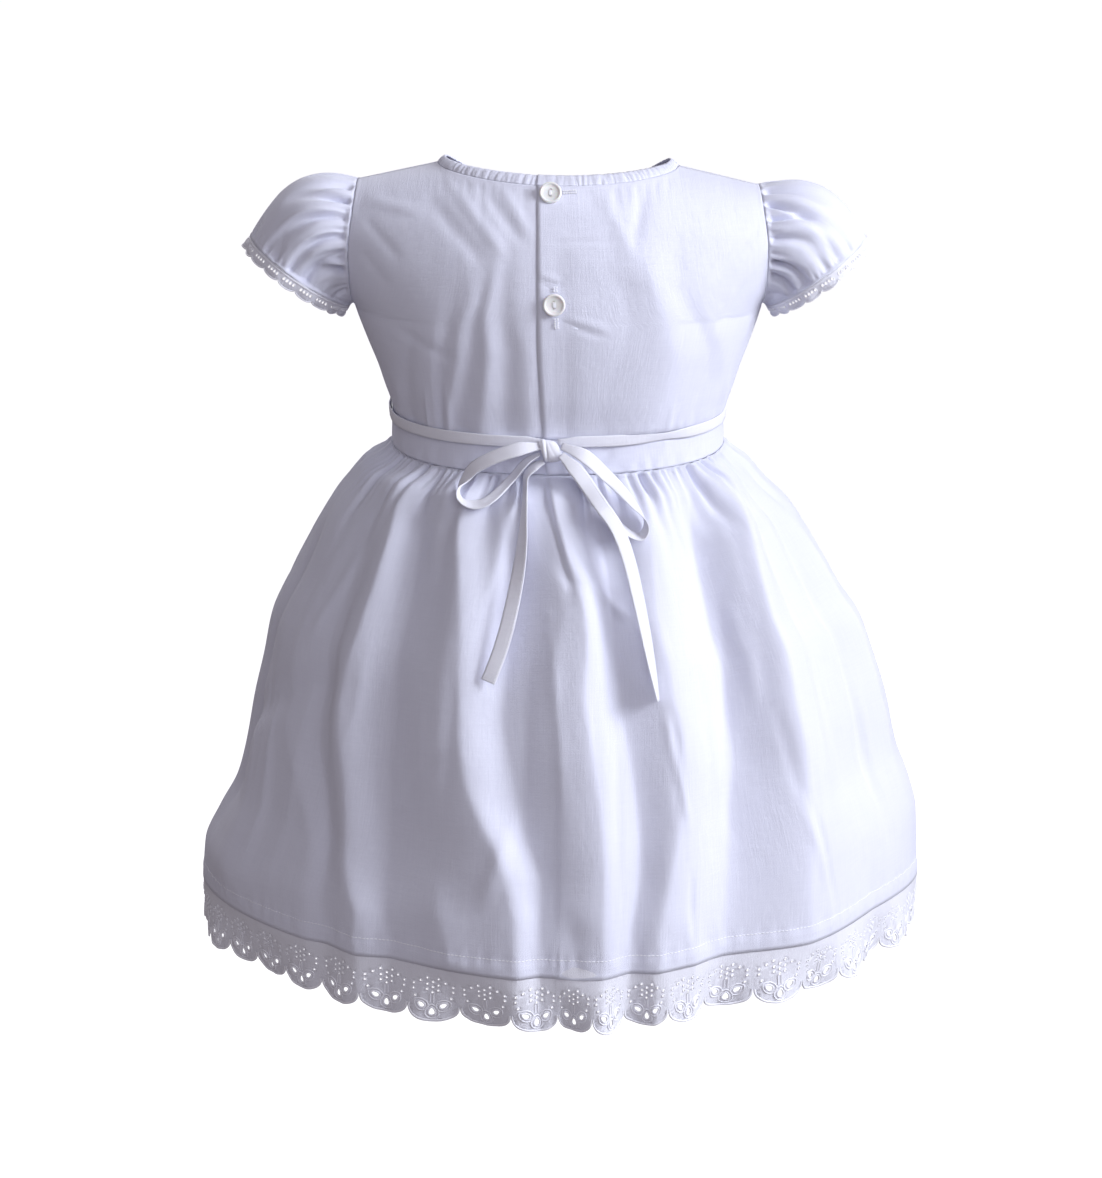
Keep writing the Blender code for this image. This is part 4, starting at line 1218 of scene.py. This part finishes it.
CUFF_CENTRE = (147.8, -64.4)
CUFF_HALF = 35.2
CUFF_DEPTH = 40.0
CUFF_LEAN = math.radians(35)
ARMHOLE_ROUND = 205
CUFF_ROUND = 236
CUFF_LACE_ROUND = 236.5
CUFF_TILES = 19
SLEEVE_PUFF = 0.46


def armhole_point(hand, turn):
    """Point of the armhole's edge; turn runs from the shoulder, down the back, and up the front."""
    z = mix(ARMPIT, torso_top(-1, hand), (1 + math.cos(turn)) / 2)
    side = -1 if math.sin(turn) >= 0 else 1
    point = torso(side, hand, z)
    point.x += hand * 0.3
    if abs(math.sin(turn)) < 1e-6:
        point.y = 0
    return point


def cuff_point(hand, turn, beyond=0.0):
    """Point of the cuff's ring, or beyond it along the sleeve."""
    outward = Vector((math.cos(CUFF_LEAN), 0, math.sin(CUFF_LEAN)))
    down = Vector((math.sin(CUFF_LEAN), 0, -math.cos(CUFF_LEAN)))
    point = (Vector((CUFF_CENTRE[0], 0, CUFF_CENTRE[1])) + outward * (CUFF_HALF * math.cos(turn))
             + down * beyond + Vector((0, -CUFF_DEPTH * math.sin(turn), 0)))
    return Vector((hand * point.x, point.y, point.z))


def place_sleeve(hand, u, v):
    """Puffed sleeve from the armhole, v 0, to the cuff, v 1."""
    turn = math.tau * u
    start = armhole_point(hand, turn)
    end = cuff_point(hand, turn)
    puff = (end - start).length * SLEEVE_PUFF
    p1 = start + Vector((hand, -0.35 * math.sin(turn), 0.30 * math.cos(turn))).normalized() * puff
    p2 = end - Vector((hand * 0.50, 0, -0.86)) * puff
    return start * (1 - v)**3 + p1 * (3 * v * (1 - v)**2) + p2 * (3 * v**2 * (1 - v)) + end * v**3


def ring_gathers(seed, count, length, depth, width, growth):
    """Gathers round a closed seam, by their share of the way round."""
    chance = random.Random(seed)
    return [((k + chance.uniform(-0.3, 0.3)) / count, chance.uniform(*length), chance.uniform(*depth),
             width * chance.uniform(0.8, 1.3), growth, chance.uniform(-0.25, 0.25)) for k in range(count)]


def ring_gathered(rows, u, below, around):
    rise = 0.0
    for at, length, depth, width, growth, slant in rows:
        if below >= length:
            continue
        off = ((u - at + 0.5) % 1 - 0.5) * around - slant * below
        spread = width + growth * below
        if abs(off) < 3 * spread:
            rise -= depth * bell(off, spread) * (1 - below / length)**1.1 * ease(-0.6, 2.5, below)
    return rise


SLEEVE_GATHERS = {hand: (ring_gathers(seed, 19, (24, 62), (4.0, 8.0), 1.4, 0.080),
                         ring_gathers(seed + 1, 40, (8, 20), (0.9, 2.0), 1.0, 0.06),
                         ring_gathers(seed + 2, 46, (5, 13), (0.5, 1.2), 1.1, 0.10),
                         ring_gathers(seed + 3, 17, (16, 36), (1.4, 3.0), 1.9, 0.14))
                  for hand, seed in ((-1, 41), (1, 51))}
SLEEVE_GATHERS[-1][0].extend([  # three sharp folds at the left armhole, each a ridge over a trough
    (0.150, 72, -3.6, 1.3, 0.012, -0.08), (0.166, 68, 3.6, 1.5, 0.030, -0.08),
    (0.200, 44, -3.2, 1.1, 0.010, 0.02), (0.214, 44, 3.4, 1.3, 0.030, 0.02),
    (0.254, 34, -3.2, 1.1, 0.010, 0.06), (0.268, 34, 3.4, 1.3, 0.030, 0.06),
])


def sleeve_relief(hand, u, v):
    turn = math.tau * u
    length = (cuff_point(hand, turn) - armhole_point(hand, turn)).length * 1.12
    armhole_fine, armhole_small, cuff_fine, cuff_long = SLEEVE_GATHERS[hand]
    down = v * length
    up = (1 - v) * length
    room = ease(6, 26, length)
    rise = sum(ring_gathered(rows, u, down, ARMHOLE_ROUND) for rows in (armhole_fine, armhole_small))
    rise += sum(ring_gathered(rows, u, up, CUFF_ROUND) for rows in (cuff_fine, cuff_long))
    return rise * room * ease(0, 2, down) * ease(-0.4, 2, up) - 0.3 * bell(up - 1.6, 0.6)


cuff_lace_pitch = CUFF_LACE_ROUND / CUFF_TILES
cuff_eyelets = [drop(cuff_lace_pitch * (0.5 + k * 0.19), 1.6 + (0.5 if k % 2 else 0.0), 1.7, 1.4, 0, 8)
                for k in (-1.5, -0.5, 0.5, 1.5)]
cuff_tile = lace_tile(cuff_lace_pitch, 5.4, 2.4, cuff_eyelets)
cuff_rims = [edge_strip(scallop(cuff_lace_pitch, 2.4), 0.8, 0.34)]
cuff_rims += [cord_strip(outline, -0.04, 0.5, 0.3) for outline in cuff_eyelets]
cuff_rims.append(edge_strip([(cuff_lace_pitch * k / 8, 4.1) for k in range(9)], 0.5, 0.25))

for hand, word in ((-1, "left"), (1, "right")):
    sleeve = cloth(f"sleeve_{word}_cloth", 360, 60, lambda u, v, hand=hand: place_sleeve(hand, u, v),
                   (hand * 140, 0, -55), (236, 62),
                   lambda u, v, point, hand=hand: sleeve_relief(hand, u, v), closed=True)
    sewn(sleeve, f"sleeve_{word}")

    def place_cuff_lace(x, y, hand=hand):
        """Sleeve lace: flat against the cuff above, flaring in small flutes at its foot."""
        turn = math.tau * x / CUFF_LACE_ROUND
        below = max(5.4 - y, 0.0)
        point = cuff_point(hand, turn, 0.2 + below)
        out = (cuff_point(hand, turn) - Vector((hand * CUFF_CENTRE[0], 0, CUFF_CENTRE[1]))).normalized()
        flute = 0.9 * math.sin(turn * 11 + 1.3 * math.sin(3 * turn)) * (below / 8)
        return point + out * (flute - 0.4), out

    edging = lay_lace(f"sleeve_lace_{word}_cloth", CUFF_TILES, cuff_lace_pitch, cuff_tile, cuff_rims,
                      place_cuff_lace, (hand * CUFF_CENTRE[0], 0, CUFF_CENTRE[1]), f"sleeve_lace_{word}")


# ---------------------------------------------------------------- buttons and buttonholes
# Two thin pearly buttons with a low rim and two holes, sewn on with white thread. Each slides through a
# worked slit, whose close stitches show beside it.

pearl = Finish("pearly_button", Roughness=0.28, Coat_Weight=0.35, Coat_Roughness=0.2,
               Subsurface_Weight=0.12, Subsurface_Scale=0.002)
cloudy = pearl.add("ShaderNodeTexNoise", None, {
    "Vector": pearl.add("ShaderNodeTexCoord").out("Object"), "Scale": 230.0, "Detail": 3.0}).out(0)
pearl.feed(pearl.shader.inputs["Base Color"],
           pearl.blend(cloudy, (0.80, 0.79, 0.78), (0.90, 0.89, 0.88)))

BUTTONS = [  # name, x, z, turn of the two holes, row of the stitches beside it
    ("button_top", -4.3, -13.5, 1.45, [(2.6, -12.6, 10.2, -12.4)]),
    ("button_lower", -2.3, -71.5, 1.57, [(-1.6, -64.6, -1.7, -61.4), (-1.2, -78.6, -0.9, -84.4)]),
]
BUTTON_CLEAR = 1.0      # from the cloth to the button's back
BUTTON_HOLE = 0.85      # half-width
BUTTON_HOLES = 1.55     # distance of each from the middle
BUTTON_RIM = [(4.3, 1.5), (4.55, 1.62), (5.0, 2.05), (5.4, 2.15), (5.8, 2.1), (6.15, 1.8), (6.3, 1.35),
              (6.2, 0.8), (6.0, 0.45), (5.2, 0.0)]


def ring_of(bm, radius, height, count, x=0.0, y=0.0):
    turns = [math.tau * k / count for k in range(count)]
    return [bm.verts.new((x + radius * math.cos(turn), y + radius * math.sin(turn), height))
            for turn in turns]


def upright(out):
    """Right and up on a surface that faces out."""
    up = Vector((1, 0, 0)).cross(out).normalized()
    if up.z < 0:
        up = -up
    return up.cross(out), up


def seat_on_half(x, z):
    """Frame on the right back half at x and z: place, right, up and out."""
    across = across_at(x, z)
    out = torso_out(-1, across, z)
    return torso(-1, across, z), *upright(out), out


for name, x, z, turn, worked in BUTTONS:
    bm = bmesh.new()
    rings = [ring_of(bm, radius, height, 48) for radius, height in BUTTON_RIM]
    join_rings(bm, rings)
    bm.faces.new(rings[-1])
    holes = []
    for sign in (-1, 1):
        spot = (sign * BUTTON_HOLES * math.cos(turn), sign * BUTTON_HOLES * math.sin(turn))
        holes.append([ring_of(bm, BUTTON_HOLE, height, 14, *spot) for height in (1.42, 0.1)])
    for hole in holes:
        join_rings(bm, hole)
        bm.faces.new(hole[1])
    loops = [rings[0]] + [hole[0] for hole in holes]
    edges = [bm.edges.get(pair) or bm.edges.new(pair)
             for loop in loops for pair in zip(loop, loop[1:] + loop[:1])]
    bmesh.ops.triangle_fill(bm, use_beauty=True, edges=edges, normal=(0, 0, 1))
    bmesh.ops.recalc_face_normals(bm, faces=bm.faces)
    seat, _, _, out = seat_on_half(x, z)
    seat += out * BUTTON_CLEAR
    out = out.lerp(Vector((0, -1, 0.12)), 0.5).normalized()
    right, up = upright(out)
    stand = Matrix((right, up, out)).transposed().to_4x4()
    stand.translation = seat
    bmesh.ops.transform(bm, matrix=stand, verts=bm.verts)
    button = sewn(finished(f"{name}_disc", bm, pearl), name)
    button.data.set_sharp_from_angle(angle=math.radians(50))

    strokes = []
    along_holes = right * math.cos(turn) + up * math.sin(turn)
    beside = out.cross(along_holes)
    for k in (-0.32, 0.0, 0.34):
        start = seat + out * 1.55 - along_holes * (BUTTON_HOLES + 0.3) + beside * (k + 0.1)
        end = start + along_holes * (2 * BUTTON_HOLES + 0.6) + beside * (k * 0.8) + out * 0.1
        strokes.append((start, end, out))
    stitching(f"{name}_threads", strokes, 0.5, 0.45)

    strokes = []
    chance = random.Random(len(name))
    for x0, z0, x1, z1 in worked:
        count = max(3, int(math.hypot(x1 - x0, z1 - z0) / 0.55))
        for row in (-1, 1):
            for k in range(count):
                t = (k + 0.5) / count
                base, side_way, rise_way, away = seat_on_half(mix(x0, x1, t), mix(z0, z1, t))
                run = (side_way * (x1 - x0) + rise_way * (z1 - z0)).normalized()
                cross = away.cross(run) * row
                reach = 1.3 + chance.uniform(-0.25, 0.25)
                first = base + away * 0.45 + cross * 0.12
                strokes.append((first, first + cross * reach + run * chance.uniform(-0.3, 0.3), away))
    stitching(f"{name}_buttonhole", strokes, 0.46, 0.5)


# ---------------------------------------------------------------- waist tie
# One narrow folded tape of the cotton, stitched along an edge. It is caught in the side seams, runs round
# the back over the waistband and is tied at centre back in a bow. Its tails end square and bare.

TAPE = 8.4
TAPE_RUN = 6.4
TIE_OFF = 1.2
KNOT = (-4.0, -154.0)
KNOT_RADII = (5.2, 4.4, 6.6)
tape = woven("white_cotton_tape", (0.90, 0.90, 0.97), (0.84, 0.84, 0.93), 0.5)


def through(points, t):
    """Point at t, from 0 to 1, on a smooth curve through equally weighted points."""
    place = min(max(t, 0.0), 1.0) * (len(points) - 1)
    i = min(int(place), len(points) - 2)
    f = place - i
    p1 = points[i]
    p2 = points[i + 1]
    p0 = points[i - 1] if i else p1 * 2 - p2
    p3 = points[i + 2] if i + 2 < len(points) else p2 * 2 - p1
    return 0.5 * (2 * p1 + (p2 - p0) * f + (2 * p0 - 5 * p1 + 4 * p2 - p3) * f**2
                  + (3 * p1 - p0 - 3 * p2 + p3) * f**3)


def back_at(x, z):
    """Point of the dress's back, without folds, at x and z, on the skirt or the waistband."""
    if z > SKIRT_TOP + FLARE / 4:
        return torso(-1, across_at(x, z), z), Vector((0, -1, 0))
    angle = math.asin(min(abs(x) / skirt_left(z), 1)) * (1 if x > 0 else -1)
    for _ in range(8):
        point = skirt(-1, angle, z)
        angle += (x - point.x) / skirt_left(z)
    width = skirt_left(z) if angle < 0 else skirt_right(z)
    square = skirt_square(z)
    out = Vector((math.copysign((abs(point.x) / width)**(square - 1) / width, point.x),
                  -(abs(point.y) / skirt_depth(z))**(square - 1) / skirt_depth(z), 0)).normalized()
    upright = ease(SKIRT_TOP - 22, SKIRT_TOP + FLARE / 4, z)
    return point, out.lerp(Vector((0, -1, 0)), upright).normalized()


def tape_relief(v):
    """Doubled tape, a little full across, pressed flat at its stitched edge."""
    return 0.16 * math.sin(math.pi * v)**0.6 - 0.14 * bell(v - 0.13, 0.05)


def place_run(hand, u, v):
    """The tie round the waist, from the side seam, u 0, to the knot, with a twist on the right."""
    last = across_at(KNOT[0] + hand * (KNOT_RADII[0] - 1.5), BAND_TOP)
    across = mix(hand * 0.985, last, u)
    rise = BAND_TOP + 1.5 + SIDE_RISE * across**2 - 2.0 * (1 - abs(across))
    rise -= 3.2 * ease(1.0, 0.80, abs(across)) * abs(across)
    narrow = mix(1, 0.55, ease(0.93, 1, u))
    if hand > 0:
        narrow *= 1 - 0.35 * bell(u - 0.60, 0.10)
    z = rise + (v - 0.5) * TAPE_RUN * narrow
    point = torso(-1, across, z)
    around = Vector((point.x / 96**2, point.y / 76**2, 0)).normalized()
    roll = 1.1 * (v - 0.5) * bell(u - 0.60, 0.12) * (1 if hand > 0 else -0.3)
    clear = (TIE_OFF + 0.9) * mix(0.35, 1.0, ease(0, 0.07, u))
    return point + around * (clear + roll)


TIE_ROUTES = [  # name, free end, rows of x, z, distance off the skirt, roll in degrees
    ("tie_loop_left", "object", [
        (-9.4, -150.8, 6.6, 30), (-21.5, -151.7, 11, 35), (-35, -156.4, 12, 40), (-47, -163.5, 12, 45),
        (-52, -170.5, 10.5, 62), (-54, -176, 9, 80), (-52, -180, 8, 95), (-46.5, -182, 7.2, 110),
        (-40.5, -181, 6.8, 118), (-34, -177, 6.6, 118), (-25.5, -169.3, 6.4, 112), (-18, -160.5, 6.2, 108),
        (-10.2, -155.8, 6.2, 105)]),
    ("tie_loop_right", "object", [
        (1.9, -150.8, 6.3, -25), (15, -155.6, 12, -35), (28, -167.5, 13, -45), (37.5, -177.5, 12.5, -58),
        (44, -185.8, 10.5, -75), (46.5, -193, 8.8, -92), (44, -197.8, 7.6, -105), (38.2, -196, 7, -112),
        (31.5, -191, 6.8, -115), (23.5, -184.5, 7, -112), (14, -173.5, 7, -108), (2.2, -160.0, 5.2, -104)]),
    ("tie_tail_left", "bare", [
        (-8.2, -159.6, 6.0, 60), (-14, -162.8, 7.4, 66), (-18, -167.5, 8.6, 72), (-18.4, -176, 8.3, 70),
        (-18.6, -187, 7.5, 60), (-19.5, -200, 6.7, 45), (-21.5, -215.5, 6.2, 28), (-24.5, -231, 5.8, 16),
        (-28, -245.5, 5.6, 10), (-31.8, -257.5, 5.3, 8), (-35.5, -267, 5.1, 8), (-38, -273, 5, 8)]),
    ("tie_tail_right", "bare", [
        (1.6, -155.0, 10.2, -20), (10.5, -163, 16, -22), (18.5, -173.5, 19, -24), (26.3, -185, 18, -26),
        (33, -198, 15, -24), (38, -212.5, 11.8, -24), (42.2, -228.5, 9.6, -28), (45.7, -243.5, 8.6, -34),
        (48.7, -257.5, 7.9, -42), (51.5, -271, 7.4, -54), (53.8, -283.5, 7.2, -68)]),
]


def ribbon_centre(route, t):
    x, z, off, turn = through(route, t)
    point, out = back_at(x, z)
    return point + out * off, out, math.radians(turn)


def place_ribbon(route, closes, u, v):
    """A free stretch of tape: u runs along it from the knot and v across it."""
    middle, out, turn = ribbon_centre(route, u)
    run = (ribbon_centre(route, u + 0.01)[0] - ribbon_centre(route, u - 0.01)[0]).normalized()
    flat = run.cross(out).normalized()
    lifted = flat * math.cos(turn) + run.cross(flat).normalized() * math.sin(turn)
    gathered_in = mix(0.5, 1, ease(0, 0.1, u))
    if closes:
        gathered_in *= mix(0.5, 1, ease(1, 0.9, u))
    return middle + lifted * ((v - 0.5) * TAPE * gathered_in)


tie_strokes = []
for hand, word in ((-1, "left"), (1, "right")):
    run_piece = cloth(f"tie_run_{word}_tape", 150, 8, lambda u, v, hand=hand: place_run(hand, u, v),
                      INSIDE_BODICE, (130, 7), lambda u, v, point: tape_relief(v), wall=0.5, finish=tape)
    sewn(run_piece, f"tie_run_{word}")

for name, far_end, rows in TIE_ROUTES:
    route = [Vector(row) for row in rows]
    closes = far_end == "object"
    ribbon = cloth(f"{name}_tape", 130, 8, lambda u, v: place_ribbon(route, closes, u, v), (0, 0, -220),
                   (100, 8.4), lambda u, v, point: tape_relief(v), wall=0.5, finish=tape)
    sewn(ribbon, name)
    surface = Surface(ribbon, 130, 8)
    tie_strokes += run_of_stitches([surface.at(k / 260, 0.13) for k in range(261)], 2.0, 1.4, 0.08)
    path = [list(surface.at(k / 60, 0.5)[0] * MM) for k in range(61)]
stitching("tie_edge_stitches", tie_strokes, 0.3, 0.24)

knot_seat = torso(-1, across_at(*KNOT), KNOT[1])
KNOT_MIDDLE = knot_seat + Vector((0, -KNOT_RADII[1] - 0.5, 0))


def place_knot(u, v):
    """Tape wrapped once round the crossing, its width drawn together into creases."""
    turn = math.tau * u
    across = (v - 0.5) * 2
    full = math.sqrt(max(1 - (0.86 * across)**2, 0.0))
    wide = mix(1.06, 0.84, v)
    return KNOT_MIDDLE + Vector((KNOT_RADII[0] * across * 0.98 - 2.0 * math.sin(turn),
                                 -KNOT_RADII[1] * math.cos(turn) * (0.50 + 0.50 * full) * wide,
                                 KNOT_RADII[2] * math.sin(turn) * (0.55 + 0.45 * full) * wide))


def knot_relief(u, v, point):
    """Creases of the drawn-together tape, deepest in front."""
    lean = 0.12 * math.sin(math.tau * u)
    front = 0.6 + 0.4 * math.cos(math.tau * u)
    creases = 0.9 * bell(v - 0.27 - lean, 0.05) + 0.35 * bell(v - 0.62 + lean, 0.07)
    return (0.55 * bell(v - 0.13 - lean, 0.09) - 0.5 * creases) * front + 0.15


knot = cloth("tie_knot_wrap", 72, 26, place_knot, tuple(KNOT_MIDDLE), (40, 9), knot_relief, wall=0.7,
             closed=True, finish=tape)
sewn(knot, "tie_knot")
